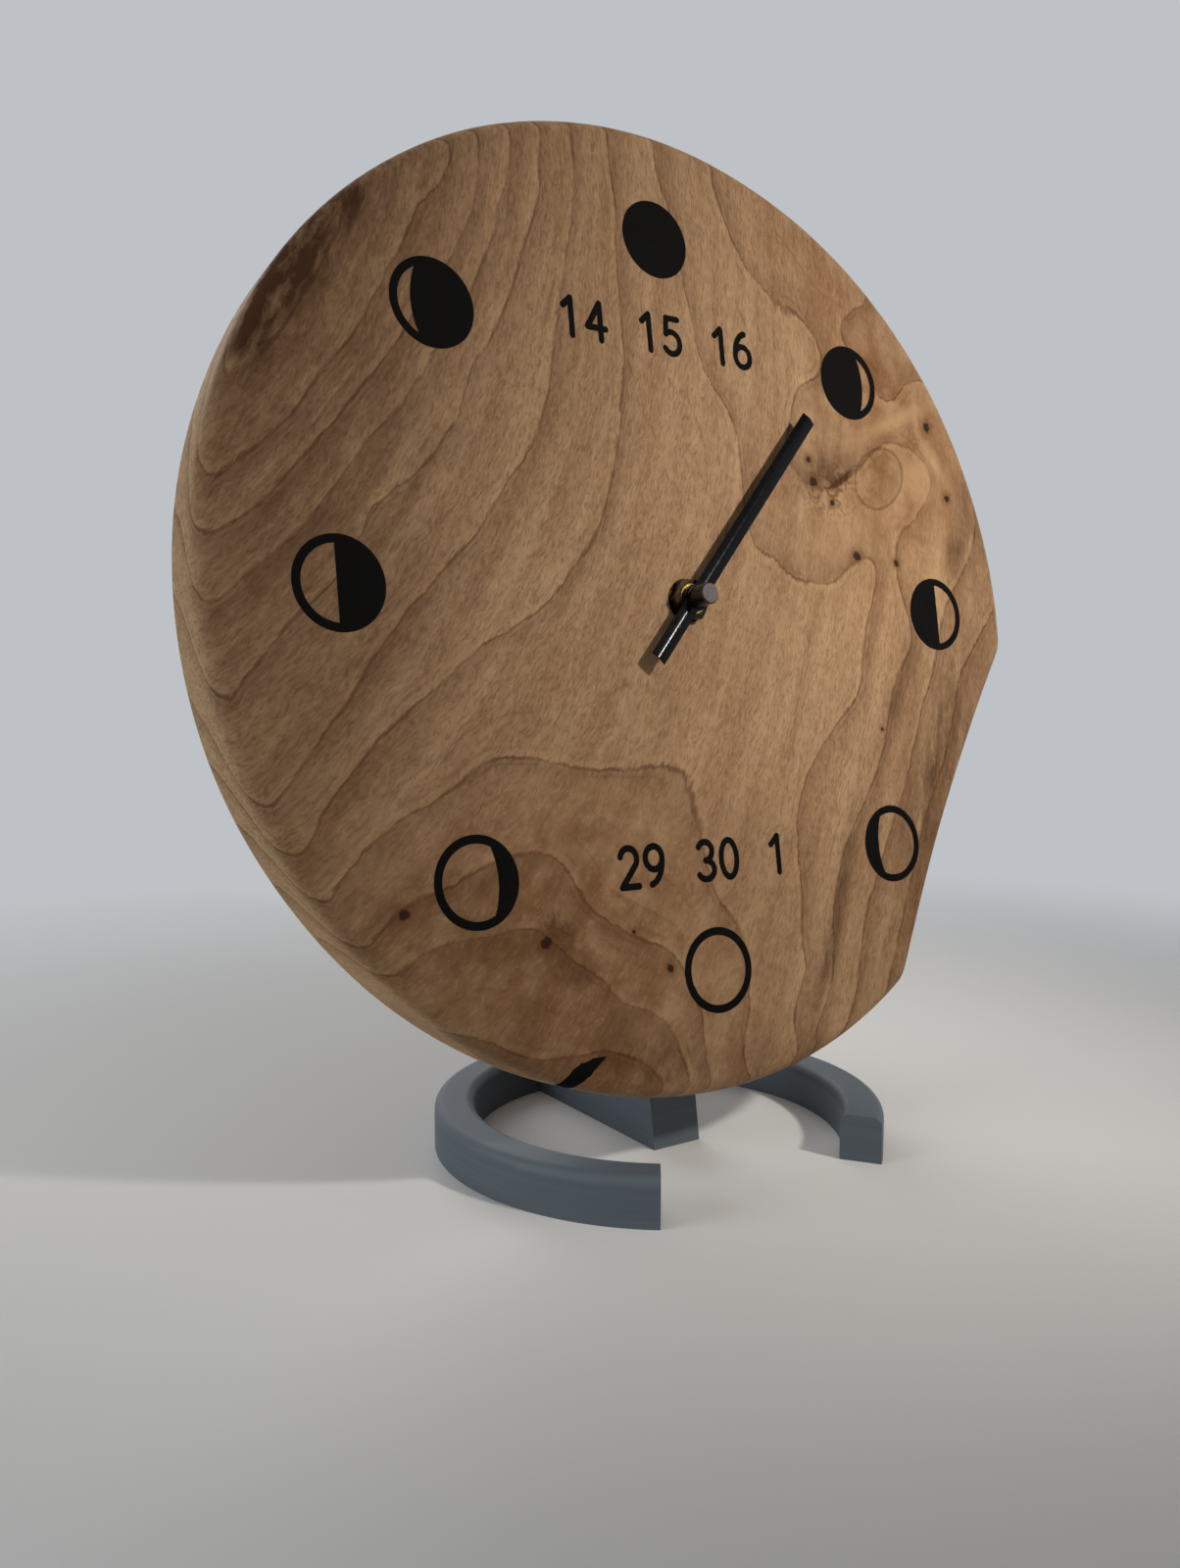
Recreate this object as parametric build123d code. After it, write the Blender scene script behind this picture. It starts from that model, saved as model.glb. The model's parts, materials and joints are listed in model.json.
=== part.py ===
from build123d import *
import os
from math import asin, cos, hypot, pi, radians, sin, tan

# Moon phase desk clock: a round slab of wood with one flat side, eight moon
# marks let into its face, one hand that turns once a lunation, and a printed
# C-shaped stand whose post is screwed to the slab's back.
# Millimetres. +Z is up, the dial faces -Y, the origin is on the table at the
# centre of the stand's ring. The dial's own frame has u to the right, v up
# along the face and w out of the face, with w = 0 on the face.

# Dial disc
disc_radius = 125.0
disc_thickness = 24.0
front_round = 4.0
rear_round = 8.0
lean_deg = 9.0
table_gap = 20.0
flat_start_deg = 94.5
flat_end_deg = 147.0
flat_hollow = 2.7
flat_corner_margin = 2.0
web_thickness = 6.0
pocket_clearance = 2.0
pocket_corner = 6.0

# Moon marks, let into the face
mark_margin = 30.8
mark_radius = 10.75
mark_line = 2.0
full_moon_radius = 10.2
full_moon_shift = 1.1
terminator_offset = 5.5
terminator_radius = 21.0
quarter_offset = 0.6
inlay_depth = 1.0
inlay_proud = 0.1

# Black fill in the split at the lower rim: degrees clockwise from the top, and inset from the rim
fill_tip = (198.0, 9.1)
fill_shoulder = (201.5, 5.8)
fill_rim_left = (203.3, -2.6)
fill_rim_right = (201.8, -2.4)
fill_belly = (199.8, 3.9)
fill_depth = 5.0

# Stand
ring_outer = 60.0
ring_width = 10.7
ring_height = 12.0
ring_round = 2.5
ring_gap_half_deg = 36.0
post_width = 15.0
post_depth = 12.0
post_foot_y = -9.0
post_rise = 63.0
post_top_round = 3.0
bar_height = 12.0
gusset_radius = 18.0

# Wood screws through the post
screw_radius = 2.0
screw_head_radius = 3.9
screw_head_height = 2.6
screw_bite = 15.0
screw_tip = 3.0
screw_point = 0.25
screw_rises = (27.0, 51.0)
screw_slot_width = 1.1
screw_slot_length = 4.6
screw_slot_depth = 1.2
screw_clearance = 0.2
pilot_clearance = 0.03

# Fixing of the movement and the hand stack
bush_radius = 3.9
bush_flange_radius = 5.2
bush_flange = 0.8
bush_end = 0.3
bush_clearance = 0.05
dial_hole_clearance = 0.2
gasket_radius = 10.0
gasket_thickness = 0.8
washer_radius = 5.7
washer_thickness = 0.4
nut_across_flats = 10.0
nut_height = 2.2
nut_chamfer = 0.4
thread_clearance = 0.02
arbor_radius = 1.5
running_clearance = 0.03
hub_radius = 3.5
hub_height = 1.0
hub_gap = 0.2
hand_length = 68.7
hand_tail = 21.0
hand_width = 4.5
hand_sheet = 0.35
hand_ridge = 0.5
hand_eye_radius = 3.2
hand_deg = 41.0
cap_radius = 2.75
cap_height = 4.95
cap_chamfer = 0.35
cap_roof = 1.4
arbor_short = 0.2

# Wheel train
gear_module = 0.4
wheel_teeth = 48
pinion_teeth = 12
tooth_thickness = 0.45
tooth_addendum = 0.32
tooth_dedendum = 0.45
flank_deg = 20.0
wheel_thickness = 1.2
pinion_extra = 0.2
layer_pitch = 2.0
layer_gap = 0.4
reduction_deg = 120.0
setting_deg = 150.0
second_deg = 10.0
rotor_deg = 10.0
wheel_hub_radius = 2.0
wheel_arbor_radius = 0.8
pivot_radius = 0.45
pivot_length = 0.8
boss_radius = 1.5
shake = 0.2
setting_arbor_radius = 1.2
knob_radius = 5.0
knob_height = 2.7
knob_gap = 0.3
knob_ribs = 20
knob_rib_radius = 0.35

# Motor, board and battery
magnet_radius = 3.0
magnet_thickness = 1.8
magnet_gap = 0.4
stator_thickness = 0.8
stator_gap = 0.8
stator_half_width = 7.0
stator_side_gap = 2.2
stator_leg = 2.5
stator_crown = 4.6
coil_drop = 17.1
coil_bar = 3.0
coil_half = 3.0
bobbin_wall = 0.5
bobbin_flange = 0.6
bobbin_clearance = 0.1
winding_inset = 0.3
cover_gap = 0.2
board_width = 11.4
board_height = 17.0
board_thickness = 1.0
board_inset = 0.6
chip_radius = 2.6
chip_height = 0.9
crystal_radius = 1.5
crystal_length = 8.0
crystal_gap = 0.02
battery_radius = 7.25
battery_length = 50.5
battery_nub_radius = 2.75
battery_nub = 1.3
battery_edge = 0.6
battery_side_gap = 0.35
battery_floor_gap = 0.1
contact_sheet = 0.4
contact_width = 9.0
leaf_space = 2.3

# Movement case and cover
case_height = 56.0
case_wall = 1.2
case_corner = 3.0
case_front = 1.2
divider = 1.0
divider_gap = 0.4
cover_thickness = 1.2
lip_depth = 1.2
lip_width = 1.0
lip_clearance = 0.1
pillar_radius = 1.2

# Dial frame
lean_sin = sin(radians(lean_deg))
lean_cos = cos(radians(lean_deg))
centre_height = table_gap + disc_radius * lean_cos
post_to_centre = (centre_height - disc_thickness * lean_sin) / lean_cos
centre_y = post_foot_y + post_to_centre * lean_sin - disc_thickness * lean_cos
dial_plane = Plane(
    origin=(0, centre_y, centre_height),
    x_dir=(1, 0, 0),
    z_dir=(0, -lean_cos, lean_sin),
)
ON_DIAL = dial_plane.location

# Levels along w, from the case's front wall backwards
case_front_w = -(web_thickness + gasket_thickness)
inner_front_w = case_front_w - case_front
first_layer_w = inner_front_w - bush_flange - layer_gap
last_wheel_rear_w = first_layer_w - 3 * layer_pitch - wheel_thickness
stator_mid_w = last_wheel_rear_w - stator_gap - stator_thickness / 2
cover_inner_w = stator_mid_w - coil_half - cover_gap
case_rear_w = cover_inner_w - cover_thickness

# Levels along w, from the face forwards
nut_top_w = washer_thickness + nut_height
bush_top_w = nut_top_w + bush_end
hub_low_w = bush_top_w + hub_gap
hand_low_w = hub_low_w + hub_height
hand_top_w = hand_low_w + hand_ridge + hand_sheet
cap_top_w = hand_top_w + cap_height
cap_bore_top_w = cap_top_w - cap_roof

# Wheel places on the dial
wheel_pitch_radius = gear_module * wheel_teeth / 2
pinion_pitch_radius = gear_module * pinion_teeth / 2
wheel_tip_radius = wheel_pitch_radius + tooth_addendum
centre_distance = wheel_pitch_radius + pinion_pitch_radius


def stepped(place, angle_deg):
    """The place one centre distance away in a direction, counter-clockwise from u."""
    u = place[0] + centre_distance * cos(radians(angle_deg))
    v = place[1] + centre_distance * sin(radians(angle_deg))
    return (u, v)


moon_place = (0.0, 0.0)
reduction_place = stepped(moon_place, reduction_deg)
setting_place = stepped(reduction_place, setting_deg)
second_place = stepped(reduction_place, second_deg)
rotor_place = stepped(second_place, rotor_deg)

# Case outline on the dial
divider_top_v = -(wheel_tip_radius + divider_gap)
divider_low_v = divider_top_v - divider
battery_v = divider_low_v - battery_side_gap - battery_radius
case_low_v = battery_v - battery_radius - battery_side_gap - case_wall
case_high_v = case_low_v + case_height
battery_w = inner_front_w - battery_floor_gap - battery_radius
coil_v = rotor_place[1] - coil_drop
stator_left_u = rotor_place[0] - stator_half_width
stator_right_u = rotor_place[0] + stator_half_width
case_inner_width = battery_length + contact_sheet + leaf_space + contact_sheet
case_width = case_inner_width + 2 * case_wall
inner_right_u = stator_right_u + stator_side_gap
inner_left_u = inner_right_u - case_inner_width
case_middle = ((inner_left_u + inner_right_u) / 2, (case_low_v + case_high_v) / 2)
stator_top_v = rotor_place[1] + stator_crown
pillar_high = (stator_right_u - stator_leg / 2, stator_top_v - stator_leg / 2)
pillar_low = (stator_left_u + stator_leg / 2, coil_v)


def slab(sketch, low, high):
    """A flat sketch carried from one level to another along w."""
    return extrude(Pos(0, 0, low) * sketch, amount=high - low, dir=(0, 0, 1))


def rod(place, radius, low, high):
    """A round bar square to the dial."""
    return slab(Pos(place[0], place[1]) * Circle(radius), low, high)


def block(low_u, high_u, low_v, high_v, low, high):
    """A square-cornered block between two corners and two levels."""
    centre = Pos((low_u + high_u) / 2, (low_v + high_v) / 2)
    return slab(centre * Rectangle(high_u - low_u, high_v - low_v), low, high)


def rim_point(clock_deg, radius=disc_radius):
    """A place on a circle round the shaft, clockwise from the top."""
    return (radius * sin(radians(clock_deg)), radius * cos(radians(clock_deg)))


def mark_sketches():
    """The eight moon outlines by name, clockwise from the top, each about its own centre."""
    outer = Circle(mark_radius)
    inner = Circle(mark_radius - mark_line)
    bulge = Pos(terminator_offset - terminator_radius, 0) * Circle(terminator_radius)
    half = Pos(quarter_offset + mark_radius, 0) * Rectangle(2 * mark_radius, 2 * mark_radius)
    gibbous = outer - (inner - bulge)
    quarter = outer - (inner & half)
    crescent = outer - (inner & mirror(bulge, about=Plane.YZ))
    return {
        "full_moon": Circle(full_moon_radius),
        "waning_gibbous": gibbous,
        "last_quarter": quarter,
        "waning_crescent": crescent,
        "new_moon": outer - inner,
        "waxing_crescent": mirror(crescent, about=Plane.YZ),
        "first_quarter": mirror(quarter, about=Plane.YZ),
        "waxing_gibbous": mirror(gibbous, about=Plane.YZ),
    }


def placed_marks():
    """The eight moon outlines where they lie on the dial."""
    placed = {}
    for number, (name, sketch) in enumerate(mark_sketches().items()):
        shift = full_moon_shift if name == "full_moon" else 0.0
        u, v = rim_point(45.0 * number, disc_radius - mark_margin + shift)
        placed[name] = Pos(u, v) * sketch
    return placed


def disc_blank():
    """The round slab with its hollowed flat side and rounded edges."""
    start = rim_point(flat_start_deg)
    end = rim_point(flat_end_deg)
    far_side = rim_point((flat_start_deg + flat_end_deg) / 2 + 180.0)
    chord = hypot(end[0] - start[0], end[1] - start[1])
    depth = (disc_radius**2 - (chord / 2) ** 2) ** 0.5 - flat_hollow
    hollow = rim_point((flat_start_deg + flat_end_deg) / 2, depth)
    outline = make_face([ThreePointArc(start, far_side, end), ThreePointArc(end, hollow, start)])
    outline = fillet(outline.vertices(), rear_round + flat_corner_margin)
    solid = slab(outline, -disc_thickness, 0)
    solid = fillet(solid.faces().sort_by(Axis.Z)[-1].edges(), front_round)
    return fillet(solid.faces().sort_by(Axis.Z)[0].edges(), rear_round)


def split_shape():
    """The split in the rim: from a fine tip it widens and runs out over the edge."""
    corners = (fill_tip, fill_shoulder, fill_rim_left, fill_rim_right, fill_belly)
    tip, shoulder, left, right, belly = [
        rim_point(clock_deg, disc_radius - inset) for clock_deg, inset in corners
    ]
    outline = make_face([Spline(tip, shoulder, left), Line(left, right), Spline(right, belly, tip)])
    return slab(outline, -fill_depth, front_round)


def dial_disc(blank):
    """The slab with its marks' recesses, movement pocket, shaft hole and pilot holes."""
    pocket = RectangleRounded(
        case_width + 2 * pocket_clearance, case_height + 2 * pocket_clearance, pocket_corner
    )
    disc = blank - split_shape()
    disc -= slab(Pos(*case_middle) * pocket, -disc_thickness, -web_thickness)
    disc -= rod(moon_place, bush_radius + dial_hole_clearance, -disc_thickness, 0)
    for sketch in placed_marks().values():
        disc -= slab(sketch, -inlay_depth, 0)
    for rise in screw_rises:
        place = (0, rise - disc_radius)
        disc -= rod(place, screw_radius + pilot_clearance, -disc_thickness, screw_bite - disc_thickness)
    return disc


def stand():
    """C-shaped ring, bar and leaning post, printed in one piece."""
    section = Pos(ring_outer - ring_width / 2, ring_height / 2) * Rectangle(ring_width, ring_height)
    section = fillet(section.vertices().group_by(Axis.Y)[-1], ring_round)
    arc_deg = 360.0 - 2 * ring_gap_half_deg
    ring = revolve(Plane.XZ * section, axis=Axis.Z, revolution_arc=arc_deg)
    ring = Rot(0, 0, ring_gap_half_deg - 90.0) * ring
    reach = post_to_centre - disc_radius + post_rise
    foot = (post_foot_y, 0)
    top_front = (post_foot_y + reach * lean_sin, reach * lean_cos)
    top_rear = (top_front[0] + post_depth * lean_cos, top_front[1] - post_depth * lean_sin)
    drop = (top_rear[1] - bar_height) / lean_cos
    corner = (top_rear[0] - drop * lean_sin, bar_height)
    bar_end_y = ring_outer - ring_width / 2
    points = [foot, top_front, top_rear, corner, (bar_end_y, bar_height), (bar_end_y, 0)]
    side = make_face(Polyline(*points, close=True))
    corners = side.vertices()
    side = fillet(corners.sort_by_distance(corner)[0], gusset_radius)
    for top in (top_front, top_rear):
        side = fillet(side.vertices().sort_by_distance(top)[0], post_top_round)
    spine = extrude(Plane.YZ * side, amount=post_width / 2, both=True)
    body = ring + spine
    for rise in screw_rises:
        place = (0, rise - disc_radius)
        hole_radius = screw_radius + screw_clearance
        body -= ON_DIAL * rod(place, hole_radius, -disc_thickness - post_depth, -disc_thickness)
    return body


def stand_screws():
    """Two pan-head wood screws, from the post's rear face into the slab."""
    seat_w = -(disc_thickness + post_depth)
    tip_w = screw_bite - disc_thickness
    screws = []
    for rise in screw_rises:
        head_w = seat_w - screw_head_height
        shank = rod((0, 0), screw_radius, seat_w, tip_w - screw_tip)
        point = Pos(0, 0, tip_w - screw_tip / 2) * Cone(screw_radius, screw_point, screw_tip)
        head = rod((0, 0), screw_head_radius, head_w, seat_w)
        head = fillet(head.edges().sort_by(Axis.Z)[0], screw_head_height / 2)
        for turn in (0, 90):
            slot = Rot(0, 0, turn) * Rectangle(screw_slot_length, screw_slot_width)
            head -= slab(slot, head_w, head_w + screw_slot_depth)
        screws.append(Pos(0, rise - disc_radius) * (shank + point + head))
    return Compound(children=screws)


def gear_sketch(teeth, tooth_deg):
    """Straight-flanked teeth round a pitch circle, one of them pointing along tooth_deg."""
    pitch_radius = gear_module * teeth / 2
    spread = 2 * tan(radians(flank_deg))
    tip = (pitch_radius + tooth_addendum, tooth_thickness - spread * tooth_addendum)
    root = (pitch_radius - tooth_dedendum, tooth_thickness + spread * tooth_dedendum)
    points = []
    for number in range(teeth):
        middle = radians(tooth_deg) + 2 * pi * number / teeth
        for radius, width, side in ((*root, -1), (*tip, -1), (*tip, 1), (*root, 1)):
            angle = middle + side * asin(width / (2 * radius))
            points.append((radius * cos(angle), radius * sin(angle)))
    return make_face(Polyline(*points, close=True))


def layer_w(number):
    """The front level of a wheel layer, counted backwards from the dial."""
    return first_layer_w - number * layer_pitch


def wheel(place, layer, towards_deg):
    """A toothed wheel in its layer with a tooth on the line to its pinion."""
    front = layer_w(layer)
    return slab(Pos(*place) * gear_sketch(wheel_teeth, towards_deg), front - wheel_thickness, front)


def pinion(place, layer, towards_deg):
    """A pinion in its layer with a gap on the line to its wheel."""
    front = layer_w(layer) + pinion_extra
    tooth_deg = towards_deg + 180.0 / pinion_teeth
    rear = front - wheel_thickness - 2 * pinion_extra
    return slab(Pos(*place) * gear_sketch(pinion_teeth, tooth_deg), rear, front)


def moon_wheel():
    """The wheel on the hand's arbor, which runs through the bush to the cap nut."""
    body = wheel(moon_place, 0, reduction_deg)
    return body + rod(moon_place, arbor_radius, layer_w(0) - wheel_thickness, cap_bore_top_w - arbor_short)


def boss_top_w(layer):
    """Where a front pivot boss ends, just short of the pinion that it carries."""
    return layer_w(layer) + pinion_extra + shake


def rear_boss_w(solid_rear):
    """Where a rear pivot boss starts, just behind the piece that it carries."""
    return solid_rear - shake


def pivots(place, front, rear):
    """An arbor's two thin ends, beyond the levels where its bosses start."""
    return rod(place, pivot_radius, rear - pivot_length, front + pivot_length)


reduction_front_w = boss_top_w(0)
reduction_rear_w = rear_boss_w(layer_w(2) - wheel_thickness - 3 * shake)
second_front_w = boss_top_w(2)
second_rear_w = rear_boss_w(last_wheel_rear_w)
rotor_front_w = boss_top_w(3)
magnet_front_w = last_wheel_rear_w - magnet_gap
rotor_rear_w = rear_boss_w(magnet_front_w - magnet_thickness)
setting_front_w = boss_top_w(1)
front_bosses = (
    (reduction_place, reduction_front_w),
    (second_place, second_front_w),
    (rotor_place, rotor_front_w),
    (setting_place, setting_front_w),
)
rear_bosses = (
    (reduction_place, reduction_rear_w),
    (second_place, second_rear_w),
    (rotor_place, rotor_rear_w),
)


def reduction_wheel():
    """Pinion and wheel on one arbor: it drives the moon wheel and is turned by the knob."""
    body = pinion(reduction_place, 0, reduction_deg + 180.0)
    body += wheel(reduction_place, 1, setting_deg)
    body += rod(reduction_place, wheel_arbor_radius, reduction_rear_w + shake, reduction_front_w - shake)
    return body + pivots(reduction_place, reduction_front_w, reduction_rear_w)


def clutch_wheel():
    """The wheel that slips on the reduction arbor when the knob is turned."""
    front = layer_w(2)
    body = wheel(reduction_place, 2, second_deg)
    hub_front = layer_w(1) - wheel_thickness - shake
    body += rod(reduction_place, wheel_hub_radius, front - wheel_thickness - 2 * shake, hub_front)
    return body - rod(reduction_place, wheel_arbor_radius + running_clearance, cover_inner_w, 0)


def second_wheel():
    """Pinion and wheel on one arbor between the clutch wheel and the rotor."""
    body = pinion(second_place, 2, second_deg + 180.0)
    body += wheel(second_place, 3, rotor_deg)
    body += rod(second_place, wheel_arbor_radius, second_rear_w + shake, second_front_w - shake)
    return body + pivots(second_place, second_front_w, second_rear_w)


def rotor():
    """The motor's rotor: a pinion and a disc magnet on one arbor."""
    body = pinion(rotor_place, 3, rotor_deg + 180.0)
    body += rod(rotor_place, magnet_radius, magnet_front_w - magnet_thickness, magnet_front_w)
    body += rod(rotor_place, wheel_arbor_radius, rotor_rear_w + shake, rotor_front_w - shake)
    return body + pivots(rotor_place, rotor_front_w, rotor_rear_w)


def setting_knob():
    """Pinion, arbor and ribbed knob: it turns the hand by the reduction wheel."""
    knob_front = case_rear_w - knob_gap
    knob = Circle(knob_radius)
    for place in PolarLocations(knob_radius, knob_ribs):
        knob -= place * Circle(knob_rib_radius)
    body = slab(Pos(*setting_place) * knob, knob_front - knob_height, knob_front)
    body += rod(setting_place, setting_arbor_radius, knob_front, setting_front_w - shake)
    body += pinion(setting_place, 1, setting_deg + 180.0)
    return body + rod(setting_place, pivot_radius, setting_front_w - shake, setting_front_w + pivot_length)


def moon_hand():
    """A straight hand folded along its middle, with a thick eye round the arbor."""
    half = hand_width / 2
    fold = [
        (-half, 0),
        (0, hand_ridge),
        (half, 0),
        (half, hand_sheet),
        (0, hand_ridge + hand_sheet),
        (-half, hand_sheet),
    ]
    section = Plane.XZ * make_face(Polyline(*fold, close=True))
    blade = extrude(section, amount=hand_length + hand_tail, dir=(0, 1, 0))
    blade = Pos(0, -hand_tail, hand_low_w) * blade
    body = blade + rod(moon_place, hand_eye_radius, hand_low_w, hand_top_w)
    body -= rod(moon_place, arbor_radius + thread_clearance, hand_low_w, hand_top_w)
    return Rot(0, 0, -hand_deg) * body


def hand_hub():
    """The collet under the hand."""
    sketch = Circle(hub_radius) - Circle(arbor_radius + thread_clearance)
    return slab(sketch, hub_low_w, hand_low_w)


def cap_nut():
    """The closed round nut on the arbor's end."""
    nut = rod(moon_place, cap_radius, hand_top_w, cap_top_w)
    nut = chamfer(nut.faces().sort_by(Axis.Z)[-1].edges(), cap_chamfer)
    return nut - rod(moon_place, arbor_radius + thread_clearance, hand_top_w, cap_bore_top_w)


def threaded_bush():
    """The bush that clamps the movement to the dial and guides the hand's arbor."""
    bush = rod(moon_place, bush_radius, inner_front_w, bush_top_w)
    bush += rod(moon_place, bush_flange_radius, inner_front_w - bush_flange, inner_front_w)
    return bush - rod(moon_place, arbor_radius + running_clearance, cover_inner_w, bush_top_w)


def hex_nut():
    """The fixing nut on the face, with its front corners turned down."""
    corner = nut_across_flats / 2 / cos(pi / 6)
    nut = slab(RegularPolygon(corner, 6), washer_thickness, nut_top_w)
    crown = rod(moon_place, corner, washer_thickness, nut_top_w)
    crown = chamfer(crown.faces().sort_by(Axis.Z)[-1].edges(), nut_chamfer)
    return (nut & crown) - rod(moon_place, bush_radius + thread_clearance, 0, nut_top_w)


def bush_ring(outer_radius, low, high):
    """A flat ring round the bush."""
    return slab(Circle(outer_radius) - Circle(bush_radius + bush_clearance), low, high)


def movement_case():
    """Open tray: wheel bay above, battery bay below, pivot bosses on its front wall."""
    outline = Pos(*case_middle) * RectangleRounded(case_width, case_height, case_corner)
    case = slab(outline, case_rear_w, case_front_w)
    inner_top_v = case_high_v - case_wall
    inner_low_v = case_low_v + case_wall
    outer_left_u = inner_left_u - case_wall
    outer_right_u = inner_right_u + case_wall
    case -= block(inner_left_u, inner_right_u, divider_top_v, inner_top_v, case_rear_w, inner_front_w)
    case -= block(inner_left_u, inner_right_u, inner_low_v, divider_low_v, case_rear_w, inner_front_w)
    case -= block(outer_left_u, outer_right_u, divider_low_v, case_high_v, case_rear_w, cover_inner_w)
    for place, top in front_bosses:
        case += rod(place, boss_radius, top, inner_front_w)
        case -= rod(place, pivot_radius + running_clearance, top, top + pivot_length + shake)
    for place in (pillar_high, pillar_low):
        case += rod(place, pillar_radius, stator_mid_w + stator_thickness / 2, inner_front_w)
    return case - rod(moon_place, bush_radius + bush_clearance, inner_front_w, case_front_w)


def movement_cover():
    """Rear plate of the wheel bay with its lip, pivot bosses and the knob's hole."""
    outline = Pos(*case_middle) * RectangleRounded(case_width, case_height, case_corner)
    above = Pos(case_middle[0], divider_low_v + case_height / 2) * Rectangle(case_width, case_height)
    cover = slab(outline & above, case_rear_w, cover_inner_w)
    bay_width = case_inner_width - 2 * lip_clearance
    bay_height = case_high_v - case_wall - divider_top_v - 2 * lip_clearance
    bay = Pos(case_middle[0], (case_high_v - case_wall + divider_top_v) / 2)
    lip = bay * Rectangle(bay_width, bay_height)
    lip -= bay * Rectangle(bay_width - 2 * lip_width, bay_height - 2 * lip_width)
    cover += slab(lip, cover_inner_w, cover_inner_w + lip_depth)
    for place, top in rear_bosses:
        cover += rod(place, boss_radius, cover_inner_w, top)
        cover -= rod(place, pivot_radius + running_clearance, top - pivot_length - shake, top)
    for place in (pillar_high, pillar_low):
        cover += rod(place, pillar_radius, cover_inner_w, stator_mid_w - stator_thickness / 2)
    return cover - rod(setting_place, setting_arbor_radius + running_clearance, case_rear_w, cover_inner_w)


def stator():
    """The motor's frame: a crown round the magnet, two legs and the bar through the coil."""
    low_v = coil_v - coil_bar / 2
    crown_low_v = rotor_place[1] - stator_crown
    frame = Pos(rotor_place[0], (low_v + stator_top_v) / 2) * Rectangle(
        2 * stator_half_width, stator_top_v - low_v
    )
    window_low_v = coil_v + coil_bar / 2
    frame -= Pos(rotor_place[0], (window_low_v + crown_low_v) / 2) * Rectangle(
        2 * (stator_half_width - stator_leg), crown_low_v - window_low_v
    )
    frame -= Pos(*rotor_place) * Circle(magnet_radius + magnet_gap)
    return slab(frame, stator_mid_w - stator_thickness / 2, stator_mid_w + stator_thickness / 2)


def coil_section(grow_v, grow_w):
    """A rounded box section square to the coil's axis, by its half sizes."""
    box = RectangleRounded(2 * grow_v, 2 * grow_w, min(grow_v, grow_w) / 3)
    return Plane(origin=(rotor_place[0], coil_v, stator_mid_w), x_dir=(0, 1, 0), z_dir=(1, 0, 0)) * box


def coil_parts():
    """The coil's bobbin, a flanged tube on the stator's bar, and the winding between its flanges."""
    half_length = stator_half_width - stator_leg - bobbin_clearance
    bore_v = coil_bar / 2 + bobbin_clearance
    bore_w = stator_thickness / 2 + bobbin_clearance
    core = coil_section(bore_v + bobbin_wall, bore_w + bobbin_wall)
    bobbin = extrude(core, amount=half_length, both=True)
    flange = extrude(coil_section(coil_half, coil_half), amount=bobbin_flange, dir=(1, 0, 0))
    bobbin += Pos(-half_length, 0, 0) * flange
    bobbin += Pos(half_length - bobbin_flange, 0, 0) * flange
    bobbin -= extrude(coil_section(bore_v, bore_w), amount=half_length, both=True)
    wound = coil_half - winding_inset
    winding = extrude(coil_section(wound, wound), amount=half_length - bobbin_flange, both=True)
    winding -= extrude(core, amount=half_length, both=True)
    return bobbin, winding


board_high_u = inner_right_u - board_inset
board_low_u = board_high_u - board_width
board_low_v = divider_top_v + board_inset
board_rear_w = inner_front_w - board_thickness


def circuit_board():
    """The board on the case's front wall, with the chip under its drop of resin."""
    board_high_v = board_low_v + board_height
    board = block(board_low_u, board_high_u, board_low_v, board_high_v, board_rear_w, inner_front_w)
    chip_place = (board_low_u + board_width / 3, board_low_v + board_height / 2)
    chip = rod(chip_place, chip_radius, board_rear_w - chip_height, board_rear_w)
    return board + fillet(chip.edges().sort_by(Axis.Z)[0], chip_height / 2)


def quartz_crystal():
    """The crystal's can, lying on the board."""
    can = Cylinder(crystal_radius, crystal_length, rotation=(90, 0, 0))
    can = fillet(can.edges(), crystal_radius / 4)
    can_u = board_high_u - 2 * crystal_radius
    can_w = board_rear_w - crystal_radius - crystal_gap
    return Pos(can_u, board_low_v + board_height / 2, can_w) * can


def battery():
    """A round cell along u, its nub against the positive contact."""
    body = rod((0, 0), battery_radius, 0, battery_length - battery_nub)
    body = fillet(body.edges(), battery_edge)
    nub = rod((0, 0), battery_nub_radius, battery_length - battery_nub, battery_length)
    start_u = inner_right_u - contact_sheet - battery_length
    return Pos(start_u, battery_v, battery_w) * Rot(0, 90, 0) * (body + nub)


def positive_contact():
    """A flat strip on the case's right wall."""
    half = contact_width / 2
    inner_u = inner_right_u - contact_sheet
    return block(inner_u, inner_right_u, battery_v - half, battery_v + half, battery_w - half, inner_front_w)


def negative_contact():
    """A bowed leaf on the case's left wall, touching the cell's flat end."""
    left_u = inner_left_u
    tip_u = left_u + contact_sheet + leaf_space
    half = contact_width / 2
    front = inner_front_w
    rear = battery_w - half
    crest = battery_w
    plate = [
        (left_u, front),
        (left_u + contact_sheet, front),
        (left_u + contact_sheet, rear + contact_sheet),
        (tip_u - contact_sheet, crest),
        (left_u + 2 * contact_sheet, front - contact_sheet),
        (left_u + 3 * contact_sheet, front - contact_sheet),
        (tip_u, crest),
        (left_u + contact_sheet, rear),
        (left_u, rear),
    ]
    side = Plane.XZ * make_face(Polyline(*plate, close=True))
    return Pos(0, battery_v - half, 0) * extrude(side, amount=contact_width, dir=(0, 1, 0))


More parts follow.
